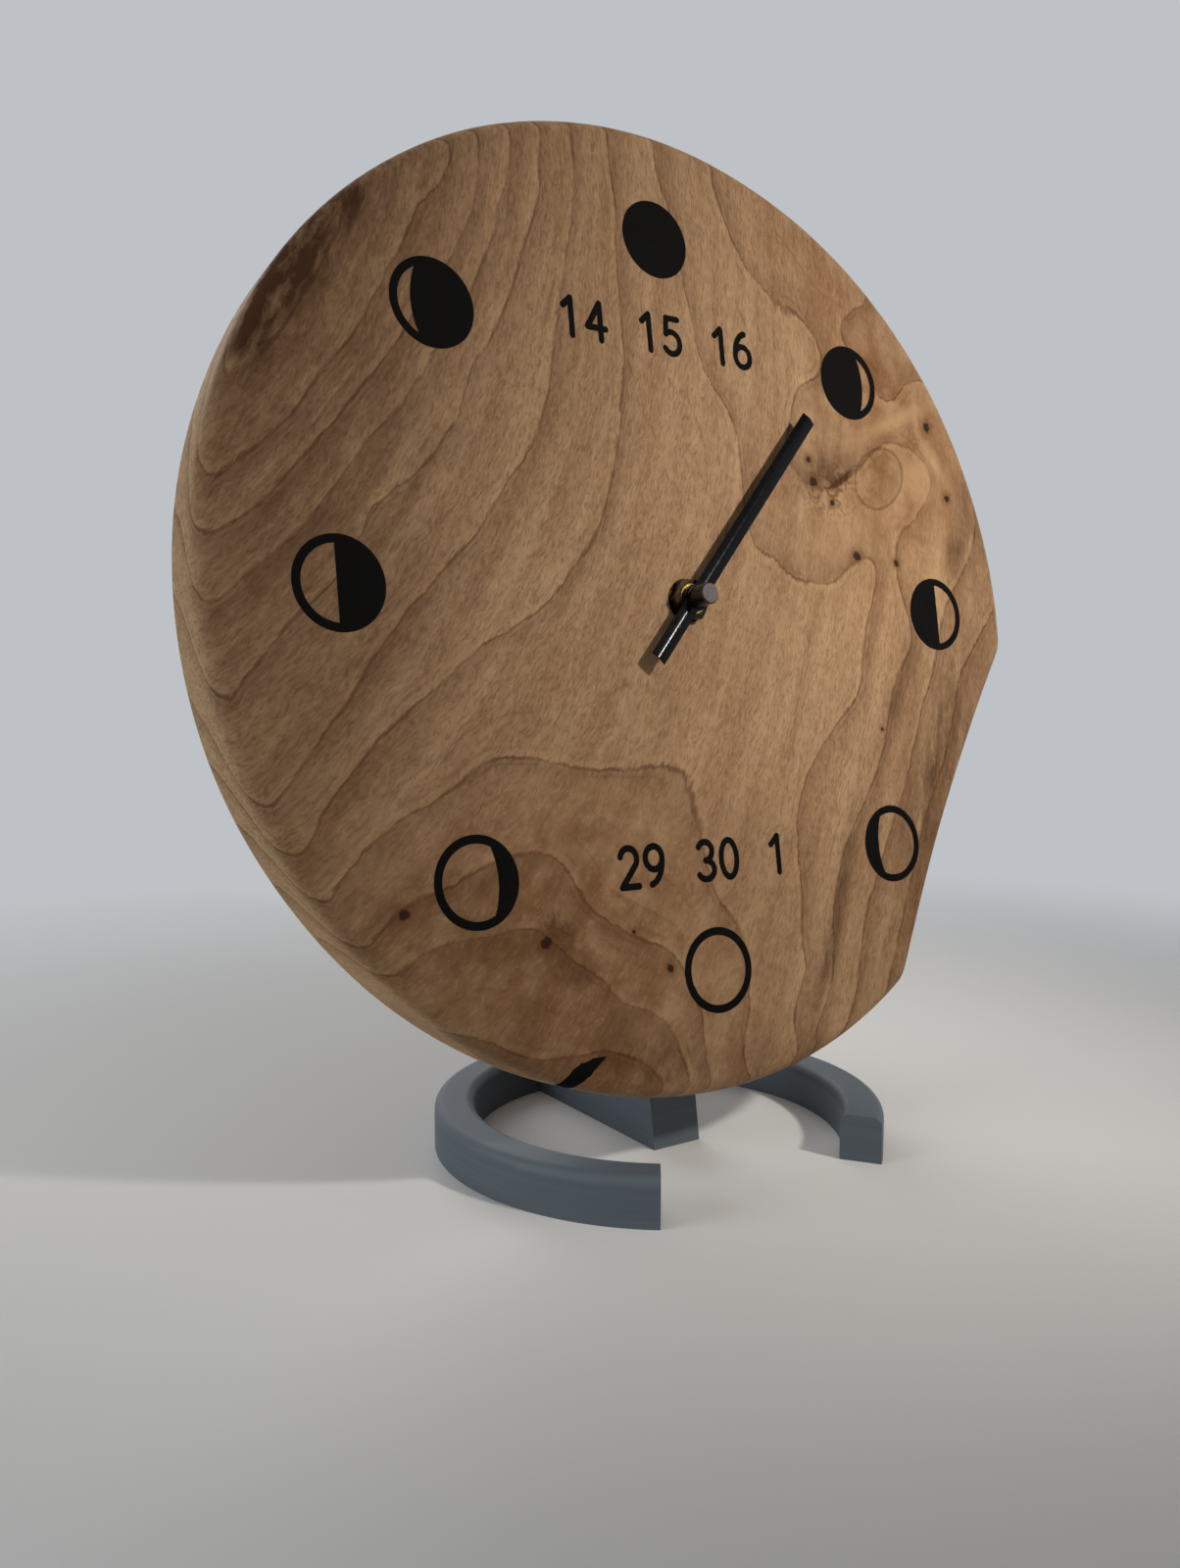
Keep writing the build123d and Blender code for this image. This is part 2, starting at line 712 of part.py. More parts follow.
def dial_nodes():
    """Every piece that is modelled in the dial's own frame, by node name."""
    blank = disc_blank()
    bobbin, winding = coil_parts()
    nodes = {
        "dial_disc": dial_disc(blank),
        "split_fill": blank & split_shape(),
        "stand_screws": stand_screws(),
        "movement_case": movement_case(),
        "movement_cover": movement_cover(),
        "threaded_bush": threaded_bush(),
        "rubber_gasket": bush_ring(gasket_radius, case_front_w, -web_thickness),
        "brass_washer": bush_ring(washer_radius, 0, washer_thickness),
        "hex_nut": hex_nut(),
        "moon_wheel": moon_wheel(),
        "moon_hand": moon_hand(),
        "hand_hub": hand_hub(),
        "cap_nut": cap_nut(),
        "reduction_wheel": reduction_wheel(),
        "clutch_wheel": clutch_wheel(),
        "second_wheel": second_wheel(),
        "rotor": rotor(),
        "setting_knob": setting_knob(),
        "stator": stator(),
        "coil_bobbin": bobbin,
        "coil_winding": winding,
        "circuit_board": circuit_board(),
        "quartz_crystal": quartz_crystal(),
        "battery": battery(),
        "positive_contact": positive_contact(),
        "negative_contact": negative_contact(),
    }
    for name, sketch in placed_marks().items():
        nodes["mark_" + name] = slab(sketch, -inlay_depth, inlay_proud)
    return nodes


def main():
    os.makedirs("parts", exist_ok=True)
    nodes = {name: ON_DIAL * shape for name, shape in dial_nodes().items()}
    nodes["stand"] = stand()
    for name, shape in nodes.items():
        export_step(shape, os.path.join("parts", name + ".step"))


main()
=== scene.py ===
import json
import math
from functools import reduce

import bpy
import numpy as np
from mathutils import Matrix, Vector


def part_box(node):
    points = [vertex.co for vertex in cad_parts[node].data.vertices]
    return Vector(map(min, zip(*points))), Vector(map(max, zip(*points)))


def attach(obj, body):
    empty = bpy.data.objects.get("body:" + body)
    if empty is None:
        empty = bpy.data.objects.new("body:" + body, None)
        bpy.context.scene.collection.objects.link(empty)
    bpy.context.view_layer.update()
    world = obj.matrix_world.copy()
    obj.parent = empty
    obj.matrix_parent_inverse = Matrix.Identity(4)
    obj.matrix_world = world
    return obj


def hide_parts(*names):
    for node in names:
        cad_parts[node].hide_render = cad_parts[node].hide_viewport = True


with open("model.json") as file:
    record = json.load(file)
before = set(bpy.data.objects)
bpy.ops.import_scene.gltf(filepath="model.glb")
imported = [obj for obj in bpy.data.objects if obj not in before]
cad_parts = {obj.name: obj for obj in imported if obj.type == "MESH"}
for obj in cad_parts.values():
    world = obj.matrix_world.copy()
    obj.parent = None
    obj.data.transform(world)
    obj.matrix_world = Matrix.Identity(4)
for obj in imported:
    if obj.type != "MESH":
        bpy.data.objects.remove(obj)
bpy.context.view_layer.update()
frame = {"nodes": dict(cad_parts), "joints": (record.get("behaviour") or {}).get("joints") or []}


def linear(red, green, blue):
    """A screen colour from 0 to 255 as the linear colour that a shader takes."""
    return tuple(
        c / 12.92 if c <= 0.04045 else ((c + 0.055) / 1.055) ** 2.4
        for c in (red / 255, green / 255, blue / 255)
    ) + (1.0,)


# Moon phase desk clock. Millimetres in the named sizes, metres in Blender.
# The dial's own frame has u to the right, v up along the face and w out of it.
MM = 0.001
hand_joint = next(joint for joint in frame["joints"] if joint["name"] == "moon_hand_turn")
FACE_CENTRE = np.array(hand_joint["pos_m"])
FACE_OUT = -np.array(hand_joint["axis"])
FACE_RIGHT = np.array((1.0, 0.0, 0.0))
FACE_UP = np.cross(FACE_OUT, FACE_RIGHT)
LEAN = math.asin(FACE_OUT[2])
# The turn that lays the face level in a finish's own place, and the face's centre there along v and w
FACE_TURN = (LEAN - math.pi / 2, 0.0, 0.0)
FACE_RISE = float(FACE_CENTRE @ FACE_UP) / MM
FACE_LEVEL = float(FACE_CENTRE @ FACE_OUT) / MM

# Wooden slab. The rim's wave is a sum of sines: share, count in a turn, start
disc_low, disc_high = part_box("dial_disc")
DISC_RADIUS = (disc_high.x - disc_low.x) / 2 / MM
DISC_THICKNESS = 24.0
FRONT_ROUND = 4.0
REAR_ROUND = 8.0
FLAT_START_DEG = 94.5
FLAT_END_DEG = 147.0
FLAT_HOLLOW = 2.7
FLAT_BLEND = 0.7
WEB = 6.0
SHAFT_HOLE = 4.1
POCKET_HALF = 30.0
POCKET_SQUARENESS = 12.0
POCKET_CENTRE = (0.04, 0.28)
RIM_WAVE = 0.12
RIM_WAVES = ((1.0, 3, 0.4), (0.6, 7, 2.1), (0.4, 13, 1.0))
TURN_STEPS = 480
FACE_ROWS = 112
EDGE_ROWS = 9
SIDE_ROWS = 6
BACK_ROWS = 36
POCKET_ROWS = 8
FLOOR_ROWS = 10
HOLE_ROWS = 3

# Growth rings: lines on the face, (u, v) in millimetres, by ring number
RING_LINES = (
    (0, ((-58, 104), (-68, 90), (-78, 70), (-88, 54), (-100, 39), (-118, 22))),
    (1, ((-51, 110), (-54, 90), (-60, 80), (-70, 66), (-90, 40), (-104, 23), (-121, 9))),
    (2, ((-42, 113), (-48, 91), (-54, 77), (-62, 61), (-80, 37), (-94, 21), (-119, -3))),
    (3, ((-33, 115), (-38, 92), (-46, 72), (-57, 54), (-84, 18), (-107, -10), (-119, -24))),
    (4, ((-24, 119), (-24, 105), (-27, 90), (-31, 74), (-37, 48), (-43, 36), (-50, 27))),
    (4, ((-58, 15), (-70, 3), (-85, -13), (-95, -27), (-105, -40), (-113, -48))),
    (5, ((-12, 119), (-12, 105), (-13, 88), (-13, 68), (-16, 48), (-21, 28), (-32, 8))),
    (5, ((-50, -7), (-60, -12), (-80, -28), (-90, -36), (-100, -47), (-107, -58))),
    (6, ((-102, -69), (-95, -60), (-88, -54), (-72, -46), (-60, -38.5), (-56, -39))),
    (6, ((-45, -40.5), (-30, -42.5), (-9, -42), (-4, -46), (-3.5, -56), (-1, -68))),
    (6, ((2, -77), (7, -83), (9.5, -92), (8.5, -106), (7, -122))),
    (6, ((2, 118), (6, 104), (9, 83), (13, 62), (19, 54), (23, 44), (23, 30), (24, 18))),
    (6, ((27, 13.5), (34, 13), (37, 9), (43, 7), (56, 9), (72, 13))),
    (6, ((60, -22), (50, -32), (40, -42), (33, -53), (31, -65), (31, -80), (29, -100), (25, -120))),
    (7, ((-94, -79), (-88, -73), (-75, -68), (-60, -62), (-46, -61.5), (-42, -66), (-39, -73))),
    (7, ((-33, -79), (-22, -84), (-14, -88), (-10, -96), (-6, -108), (-6, -122))),
    (7, ((21, 119), (25, 105), (29, 97), (35, 90), (46, 87), (50, 85), (46, 80), (57, 76))),
    (7, ((56, 69), (50, 65), (42, 52), (39, 44), (43, 37), (50, 34), (57, 35), (64, 39.5))),
    (7, ((70, 44), (77, 49), (84, 51), (91, 49.5), (97, 45.5), (99, 40), (95, 34), (90, 29.5))),
    (7, ((84, 24.5), (79, 19), (78, 13), (80, 6), (82, -1))),
    (7, ((83, -9), (77, -17), (71, -29), (66, -42), (60, -51), (52, -61), (41, -83), (30, -118))),
    (8, ((-88, -85), (-80, -80), (-60, -78.5), (-50, -80), (-42, -88), (-36, -91))),
    (8, ((-28, -100), (-20, -103), (-15, -110), (-12, -123))),
    (8, ((78, 93), (72, 89), (67, 84), (65, 80), (78, 72), (82, 62))),
    (8, ((92, -13), (85, -28), (76, -46), (66, -64), (58, -78), (51, -94), (44, -112))),
    (6.6, ((80, 38), (62, 24))),
    (7.5, ((107, 42), (104, 22), (62, 54))),
    (7.6, ((97, 60), (108, 52))),
    (9, ((-72, -101), (-60, -106), (-45, -109), (-35, -109), (-28, -112), (-19, -121))),
    (9, ((102, -20), (92, -42), (80, -62), (70, -82), (60, -104))),
)
RING_SOFTNESS = 7.0
RING_EASE = 0.6
CALM_SOFTNESS = 60.0
CALM_EASE = 40.0
RING_DRIFT = (-1.35, 1.2)
RING_DRIFT_DEPTH = 14.0
RING_LIMIT = 124.0
RING_FLATTEST = 0.02
SLOPE_STEP = 0.5

# Fibres: their lean from upright at the shaft, and how it changes over the face
FIBRE_LEAN_DEG = 26.0
FIBRE_BEND_RIGHT = 0.00083
FIBRE_BEND_CROSS = 0.0022
FIBRE_BEND_TOP = 0.0016

# Soft spots in the wood, and among the dark ones painted shade: u, v, half length, half width, direction in
# degrees, amount
DARK_DEPTH = 12.0
DARK_AND_SHADE_SPOTS = (
    (-94, 82, 40, 10, 48, 0.75),
    (-106, 60, 22, 6, 60, 0.5),
    (114, 32, 14, 6, 102, 0.4),
    (106, 20, 7, 5, 60, 0.5),
    (88, -58, 62, 17, 66, 0.5),
    (41, -88, 36, 2.8, 68, 0.6),
    (-55, -92, 42, 20, -20, 0.26),
    (75, -24, 20, 3.2, 64, 0.42),
    (90, -38, 20, 4.0, 64, 0.25),
    (53, 39, 12, 6, 20, 0.62),
    (61, 38, 7, 1.0, 32, 1.0),
    (-47, -81, 7, 3.5, 15, 0.35),
    (-40, -92, 9, 3.5, -50, 0.22),
    (-64, -66, 24, 3.5, 14, 0.2),
    # The next four are painted shade: a darker lower rim, and broad darkening over the left and the lower
    # face
    (-30, -114, 60, 10, -6, 0.36),
    (-98, 12, 75, 30, 88, 0.34),
    (-70, 66, 52, 34, 52, 0.12),
    (-24, -68, 62, 26, -6, 0.15),
    (62, 25, 22, 11, 20, -0.22),
    (92, 22, 10, 7, 60, -0.25),
)
PALE_SPOTS = (
    (92.4, 41.4, 7, 8, 90, 0.5),
    (85, 58, 15, 2.4, 24, 0.5),
    (100, 47, 9, 2.0, -52, 0.5),
    (64, 24, 14, 7, 10, 0.1),
    (96, 12, 16, 4, 70, 0.4),
)
BURL_SPOTS = (
    (74, 40, 34, 26, 35, 1.0),
    (84, 66, 26, 16, -50, 0.8),
    (-46, -86, 52, 27, -20, 1.0),
    (-28, -62, 24, 14, 0, 0.7),
)
WARM_SPOTS = (
    (-52, -86, 46, 24, -22, 0.7),
    (-28, -62, 40, 20, -4, 0.34),
    (84, 62, 30, 16, -50, 0.5),
    (84, 30, 34, 26, 60, 0.52),
    (-36, -113, 14, 5, -14, 0.8),
    (54, 98, 34, 17, -45, 0.6),
    (74, -88, 28, 6, 64, 0.6),
    (-90, 60, 40, 16, 52, 0.3),
)
CURL_SPOTS = (
    (58, 34.5, 12, 7, 10, 1.2),
    (92, 52, 12, 4, -40, 0.5),
    (-47, -79, 7, 4, 20, 0.6),
)
# Ring in the burl: u, v, half length, half width, direction in degrees, and a distance that hides it
BURL_RING = (75.6, 39.4, 11.0, 8.0, 38)
BURL_RING_AWAY = 9.0
# Small knots: u, v, radius
KNOTS = (
    (-85, -72, 1.7), (-50, -82, 1.9), (-15, -92, 1.4), (-25, -82, 0.7),
    (63.4, 15.6, 1.9), (67, -34, 0.7), (79.4, 14.6, 1.4), (98.4, 57.4, 2.0),
    (104.4, 36, 1.5), (48, 42, 1.3), (49, 36, 1.9), (55.6, 30.4, 1.2),
)

# Oiled wood: its tones, its gloss, and the depth and strength of its relief
WOOD_PALE = linear(175, 142, 108)
WOOD_LIGHT = linear(190, 155, 114)
WOOD_MID = linear(151, 117, 86)
WOOD_WARM = linear(134, 92, 58)
# The side's paler tone: partly its own and partly painted light
WOOD_SIDE_AND_LIGHT = linear(182, 150, 110)
WOOD_LINE = linear(84, 52, 30)
# Tone of the dark spots, and of the painted shade over the left and lower face
WOOD_DARK_AND_SHADE = linear(70, 43, 25)
WOOD_HALO = linear(102, 65, 35)
WOOD_KNOT = linear(36, 22, 15)
WOOD_GLOSS = 0.06
WOOD_RELIEF = (0.1, 0.8)

# Noise in the wood: the size of its features across the fibres, along them and into the slab, or one size
# where it doesn't follow them, in millimetres, how many finer layers it has and how rough these are
WOOD_NOISE = {
    "sway": (7, 2),
    "drift": ((16, 30, 16), 2),
    "quiver": ((3, 6, 4), 3),
    "comb": ((0.9, 8, 2), 2),
    "patchy": ((18, 34, 18), 2),
    "broken": (9, 3),
    "narrow": (13, 2),
    "streak": ((6, 70, 14), 4),
    "fibre": ((0.7, 4.5, 1.5), 5, 0.7),
    "pore": ((0.48, 1.9, 1.2), 2),
    "blotch": (8, 4, 0.6),
    "swirl": (15, 3),
    "loops": (5, 2),
    "ripple": ((9, 2.4, 9), 3),
    "mottle": ((4, 16, 5), 5, 0.65),
    "ragged": (1.3, 4),
}
# How far noise moves fibres, ring lines, the burl's ring and the knots' edges to both sides
SWAY_REACH = 3.0
DRIFT_REACH = 3.4
QUIVER_REACH = 1.1
COMB_REACH = 1.5
OVAL_QUIVER = 0.9
KNOT_RAGGED = 1.1
# Steps by which noise, or a distance, becomes an amount: where it starts and ends, and from what to what
WOOD_STEPS = {
    "narrow": (0.3, 0.7, 1.7, 0.6),
    "strong": (0.3, 0.62, 0.16, 0.64),
    "second": (0.4, 0.6),
    "third": (0.4, 0.6),
    "late_rise": (-0.2, 0.2),
    "late_fall": (0.0, 8.0, 0.26, 0.0),
    "early_rise": (-4.0, -0.5),
    "early_fall": (-0.5, 0.0, 0.2, 0.0),
    "fine": (0.2, 1.8, 1.0, 0.0),
    "fine_patch": (0.42, 0.66),
    "fleck": (0.46, 0.34, 0.0, 0.3),
    "pore": (0.54, 0.66),
    "swirl": (-0.1, 1.0),
    "swirl_patch": (0.38, 0.52),
    "streak": (0.3, 0.7),
    "warm": (0.3, 0.7, 0.45, 1.05),
    "hair": (0.38, 0.66, 0.0, 0.26),
    "ripple": (0.35, 0.7, 0.0, 0.1),
    "cloudy": (0.4, 0.66, 0.0, 0.36),
    "curl_patch": (0.3, 0.5),
    "dark_curl": (0.1, 0.9, 0.0, 0.55),
    "pale_curl": (-0.2, -0.9, 0.0, 0.35),
    "pale": (0.3, 0.6, 0.5, 1.2),
    "in_oval": (-1.2, 0.1, 0.2, 0.0),
    "oval_line": (0.15, 0.6, 0.5, 0.0),
    # Dark spots and painted shade
    "dark_and_shade": (0.25, 0.7, 0.4, 1.45),
    "halo": (0.6, 2.4, 0.6, 0.0),
    "knot": (0.5, 0.95, 0.92, 0.0),
    "roughness": (0.3, 0.7, 0.5, 0.64),
}
# Ring lines: how far past the ring each strand lies and where it ends, and the solid core of all three
RING_STRAND = (0.0, 0.62)
SECOND_STRAND = (1.5, 0.55)
THIRD_STRAND = (-2.4, 0.8)
STRAND_CORE = 0.1
FINE_RINGS = 3.0
# Amounts of tint, on the side partly painted light, how far the burl stills the fibres, the turns in its
# swirls, and heights in the relief
SIDE_TONE_AND_LIGHT = 0.6
FINE_TINT = 0.22
PORE_TINT = 0.3
SWIRL_TINT = 0.13
BURL_CALM = 0.8
SWIRL_TURNS = 34.0
PORE_HEIGHT = -0.6
LINE_HEIGHT = -0.5
FIBRE_HEIGHT = 0.5

# Black fill of the split at the lower rim: its two edges from the tip to the rim, and their raggedness
# as a sum of sines (share, count, start) that lags on the second edge
FILL_UPPER = ((-35.8, -110.2), (-43.6, -110.9), (-48.4, -115.0))
FILL_LOWER = ((-35.8, -110.2), (-41.0, -113.9), (-44.8, -116.5))
FILL_PROUD = 0.12
FILL_DEPTH = 1.2
FILL_RAGGED = 0.13
FILL_RAGS = ((1.0, 13, 0), (0.8, 29, 1), (0.4, 53, 2))
FILL_LAG = 7
FILL_TAPER = 0.08
FILL_STEPS = 60
FILL_SIDES = 20

# Numerals: strokes in a cell one high, as lines (start, end) or arcs (centre, radii, from, to)
DIGITS = {
    "0": (("arc", (0.3, 0.5), (0.27, 0.5), 0, 360),),
    "1": (("line", (0.1, 0.78), (0.34, 1.0)), ("line", (0.34, 1.0), (0.34, 0.0))),
    "2": (
        ("arc", (0.3, 0.72), (0.26, 0.28), 165, -38),
        ("line", (0.505, 0.548), (0.05, 0.0)),
        ("line", (0.05, 0.0), (0.58, 0.0)),
    ),
    "3": (
        ("arc", (0.28, 0.75), (0.24, 0.25), 150, -90),
        ("arc", (0.28, 0.25), (0.28, 0.25), 90, -150),
    ),
    "4": (
        ("line", (0.46, 0.0), (0.46, 1.0)),
        ("line", (0.46, 1.0), (0.04, 0.32)),
        ("line", (0.04, 0.32), (0.62, 0.32)),
    ),
    "5": (
        ("line", (0.54, 1.0), (0.15, 1.0)),
        ("line", (0.15, 1.0), (0.11, 0.56)),
        ("arc", (0.29, 0.31), (0.28, 0.31), 130, -145),
    ),
    "6": (
        ("arc", (0.31, 0.3), (0.27, 0.3), 0, 360),
        ("arc", (0.5, 0.3), (0.46, 0.7), 180, 100),
    ),
    "9": (
        ("arc", (0.31, 0.7), (0.27, 0.3), 0, 360),
        ("arc", (0.12, 0.7), (0.46, 0.7), 0, -80),
    ),
}
NUMERAL_ROWS = {"numerals_full_moon": ("14 15 16", 70.0), "numerals_new_moon": ("29 30 1", -66.5)}
NUMERAL_HEIGHT = 9.4
NUMERAL_STROKE = 0.85
NUMERAL_ADVANCE = 0.8
NUMERAL_SPACE = 0.95
NUMERAL_PROUD = 0.1
NUMERAL_DEPTH = 0.3
STROKE_STEPS = 40
STROKE_SIDES = 12
CAP_STEPS = 7

# Raised lines on the movement's cover
RELIEF_STEPS = 160
RELIEF_SQUARENESS = 14.0
RELIEF_INSET = 1.6
RELIEF_CIRCLE = 6.4
RELIEF_HALF = 0.4
RELIEF_PROUD = 0.35
RELIEF_DEPTH = 0.3
SIGN_RISE = 5.0
SIGN_INSET = 5.0
SIGN_ARM = 1.9

# Other finishes. Noise: size of its features in millimetres, finer layers. Relief: depth, strength.
# Noise spreads from about 0.3 to 0.7, so a tone or a roughness changes over that part of it
TONE_SPAN = (0.35, 0.65)
GLOSS_SPAN = (0.3, 0.7)
DULL_SPAN = (0.35, 0.7)
RIDGE_SPAN = (-1.0, 1.0)
FINER_LAYERS = 4
PLAIN_GLOSS = 0.5

# Moulded and painted finishes by material slot: name, two near tones, size of the grain, roughness from
# and to, depth of the relief, and gloss where it isn't plain
PATCH_TIMES = 8
PATCH_SHARE = 0.6
GRAIN_SHARE = 0.4
GRAIN_STRENGTH = 0.5
MOULDED = {
    "black_inlay": ("black_inlay", (9, 9, 9), (17, 16, 15), 0.7, (0.6, 0.75), 0.03, 0.03),
    "case_plastic": ("case_plastic", (30, 30, 32), (38, 38, 40), 0.4, (0.5, 0.62), 0.03),
    "rubber": ("rubber", (34, 34, 34), (44, 43, 42), 0.5, (0.75, 0.85), 0.03),
    "gear_plastic": ("gear_nylon", (226, 222, 204), (214, 209, 190), 0.6, (0.4, 0.5), 0.01),
    "rotor_plastic": ("rotor_magnet", (64, 62, 62), (84, 82, 80), 0.3, (0.4, 0.5), 0.02),
    "knob_plastic": ("knob_plastic", (36, 36, 38), (46, 46, 48), 0.4, (0.42, 0.52), 0.02),
    "bobbin_plastic": ("bobbin", (222, 214, 190), (208, 198, 172), 0.5, (0.4, 0.5), 0.01),
    "board": ("board_mask", (26, 84, 52), (34, 100, 62), 0.8, (0.3, 0.4), 0.01),
}

# Turned metal by material slot: name, two near tones, roughness from and to, and for the cap no metal
# and a level over the face above which its end is painted a lighter grey as a reflection. The nut and the
# washer are blackened.
LATHE_NOISE = ((3, 3, 0.15), 3)
LATHE_RELIEF = (0.01, 0.4)
DULL_NOISE = (2.2, 4)
CAP_TOP = 9.9
CAP_EDGE = 0.05
# Painted reflection on the cap's end face
CAP_END_REFLECTION = linear(88, 80, 74)
TURNED = {
    "screw_steel": ("screw_steel", (190, 190, 186), (160, 160, 154), (0.28, 0.42)),
    "brass": ("brass", (214, 176, 96), (170, 128, 62), (0.2, 0.36)),
    "cap_black": ("cap_black", (12, 12, 13), (18, 18, 19), (0.25, 0.35), 0.0, CAP_TOP),
    "stator_steel": ("stator_steel", (176, 178, 180), (150, 152, 154), (0.32, 0.45)),
    "crystal_can": ("crystal_can", (200, 200, 200), (176, 176, 178), (0.18, 0.3)),
}
BLACKENED = ("blackened_nut", (36, 31, 27), (60, 48, 33), (0.24, 0.36))
BLACKENED_NODES = ("hex_nut", "brass_washer")

# Hand: its direction, the fall of its two sides from the fold, the fold as it is rounded off, its lacquer
HAND_DEG = 41.0
HAND_FALL = 0.5 / 2.25
FOLD_FALL = 0.364
FOLD_RADIUS = 0.45
HAND_TONES = (linear(7, 7, 8), linear(11, 11, 12))
HAND_GLOSS = 0.09
HAND_ROUGHNESS = (0.13, 0.17)
HAND_NOISE = (1.6, 4)
HAND_RELIEF = (1.0, 1.0)

# Stand: printed in layers, with painted shade in the grooves between them
LAYER_HEIGHT = 0.28
LAYER_WAVER = 0.08
WAVER_NOISE = ((18, 18, 2), 2)
BAND_NOISE = ((150, 150, 1.1), 4)
SKIN_NOISE = (0.35, 3)
STAND_TONES = (linear(89, 98, 106), linear(84, 93, 101))
# Painted shade in the layer grooves: its tone, and the step over the ridge's sine that lays it
STAND_GROOVE_SHADE = linear(58, 66, 73)
GROOVE_SHADE_STEP = (-1.0, -0.4, 0.1, 0.0)
STAND_GLOSS = 0.35
STAND_ROUGHNESS = (0.5, 0.6)
STAND_RELIEF = (0.02, 0.4)
RIDGE_SHARE = 0.5
SKIN_SHARE = 0.35

# Coil: enamelled wire side by side, with painted shade between the turns and a painted sheen on their crowns
WIRE_PITCH = 0.22
WIRE_UNEVEN = 0.1
WIRE_NOISE = (1.5, 3)
WIRE_SHADE_AND_SHEEN = (linear(122, 62, 30), linear(214, 128, 74))
WIRE_METAL = 0.85
WIRE_ROUGHNESS = (0.28, 0.42)
WIRE_RELIEF = (0.05, 0.8)

# Battery: a foil jacket with a lighter band at one end, and bare ends
CELL_NOISE = ((30, 0.2, 0.2), 3)
CELL_TONES = (linear(70, 92, 116), linear(84, 106, 130))
CELL_BARE_TONES = (linear(186, 186, 184), linear(208, 208, 206))
CELL_BAND_TONE = linear(176, 180, 186)
CELL_BAND = 13.0
CELL_BARE_LEFT = 1.0
CELL_BARE_RIGHT = 2.4
CELL_EDGE = 0.1
CELL_METAL = 0.7
CELL_ROUGHNESS = (0.3, 0.42)
CELL_RELIEF = (0.01, 0.3)

# Studio: the round sheet that makes the floor and backdrop, in metres, and its paper. Away from the object
# the paper passes over to a plain tone, between two distances in millimetres.
BOWL_FLOOR = 1.1
BOWL_BEND = 1.3
BOWL_HEIGHT = 2.6
BOWL_ROWS = 24
BOWL_COLUMNS = 96
PAPER_TONES = (linear(222, 221, 219), linear(227, 226, 224))
PAPER_NOISE = (400, 2)
PAPER_ROUGHNESS = 0.85
PAPER_GLOSS = 0.2
BACKDROP_START = (190.0, 560.0)
BACKDROP_COLOUR = linear(190, 194, 198)

# Lamps, in metres: place, target, size, power, colour, and the width of the beam in degrees
MIDDLE = (0.0, 0.0, 0.13)
WHITE = (1.0, 1.0, 1.0)
LAMPS = {
    "key": ((0.19, -0.49, 0.45), (0.075, 0.0, 0.145), 0.05, 0.255, (1.0, 0.95, 0.88), 49.0),
    "side": ((-1.2, 0.22, 0.45), MIDDLE, 0.8, 6.5, (0.9, 0.96, 1.0), 180.0),
    "top": ((-0.1, -0.1, 1.3), MIDDLE, 0.9, 1.4, WHITE, 180.0),
    "rear": ((0.3, 1.3, 0.9), MIDDLE, 1.0, 7.0, WHITE, 180.0),
}
WORLD_COLOUR = (0.9, 0.93, 0.97, 1.0)
WORLD_STRENGTH = 0.18

# Camera, as the photograph was taken: place in millimetres, angles in degrees
CAMERA_PLACE = (-198.9, -264.1, 121.3)
CAMERA_TURN = 33.76
CAMERA_TILT = -4.44
CAMERA_ROLL = 0.236
CAMERA_FOCUS_PX = 1268.5
PHOTO_LONG_SIDE_PX = 1600
SENSOR = 36.0
CAMERA_NEAREST = 0.01


def on_dial(u, v, w):
    """Places in the dial's frame, in millimetres, as points in metres:
    the face's centre plus u along its right, v along its up and w along its outward direction."""
    offsets = np.stack([u, v, w], axis=-1) @ np.stack([FACE_RIGHT, FACE_UP, FACE_OUT])
    return FACE_CENTRE + offsets * MM


def grid_faces(rows, columns, close_rows):
    """Four-sided faces of a grid whose columns join up, and whose rows join up if close_rows is set:
    each face takes a corner, the next along the row and the same two in the next row."""
    row = np.arange(rows if close_rows else rows - 1)[:, None]
    column = np.arange(columns)[None, :]
    next_row = (row + 1) % rows
    next_column = (column + 1) % columns
    corners = [
        row * columns + column,
        row * columns + next_column,
        next_row * columns + next_column,
        next_row * columns + column,
    ]
    return np.stack(corners, axis=-1).reshape(-1, 4)


def closed_ends(grid, both=True):
    """Points and faces of a tube whose first row, and whose last row too if both is set, is drawn in to
    one point: the middle rows are joined by four-sided faces, and each end point by a fan of triangles."""
    rows, columns = grid.shape[:2]
    last = rows - 1 if both else rows
    ends = [grid[0].mean(axis=0)] + ([grid[-1].mean(axis=0)] if both else [])
    body = grid[1:last].reshape(-1, 3)
    column = np.arange(columns)
    ahead = (column + 1) % columns
    faces = [grid_faces(last - 1, columns, False)]
    faces.append(np.stack([np.full(columns, len(body)), ahead, column], axis=-1))
    if both:
        edge = len(body) - columns
        faces.append(np.stack([np.full(columns, len(body) + 1), edge + column, edge + ahead], axis=-1))
    return np.concatenate([body, ends]), faces


def mesh_object(name, points, faces, sharp_deg=35.0):
    """A new object at the origin from its points and blocks of faces, smooth except at sharp edges."""
    mesh = bpy.data.meshes.new(name)
    mesh.from_pydata(points.reshape(-1, 3).tolist(), [], [face for block in faces for face in block.tolist()])
    mesh.validate()
    mesh.shade_smooth()
    mesh.set_sharp_from_angle(angle=math.radians(sharp_deg))
    piece = bpy.data.objects.new(name, mesh)
    bpy.context.scene.collection.objects.link(piece)
    return piece


def give_attribute(piece, name, values):
    """Stores one number per vertex on a piece."""
    attribute = piece.data.attributes.new(name, "FLOAT", "POINT")
    attribute.data.foreach_set("value", values.astype(np.float32).ravel())


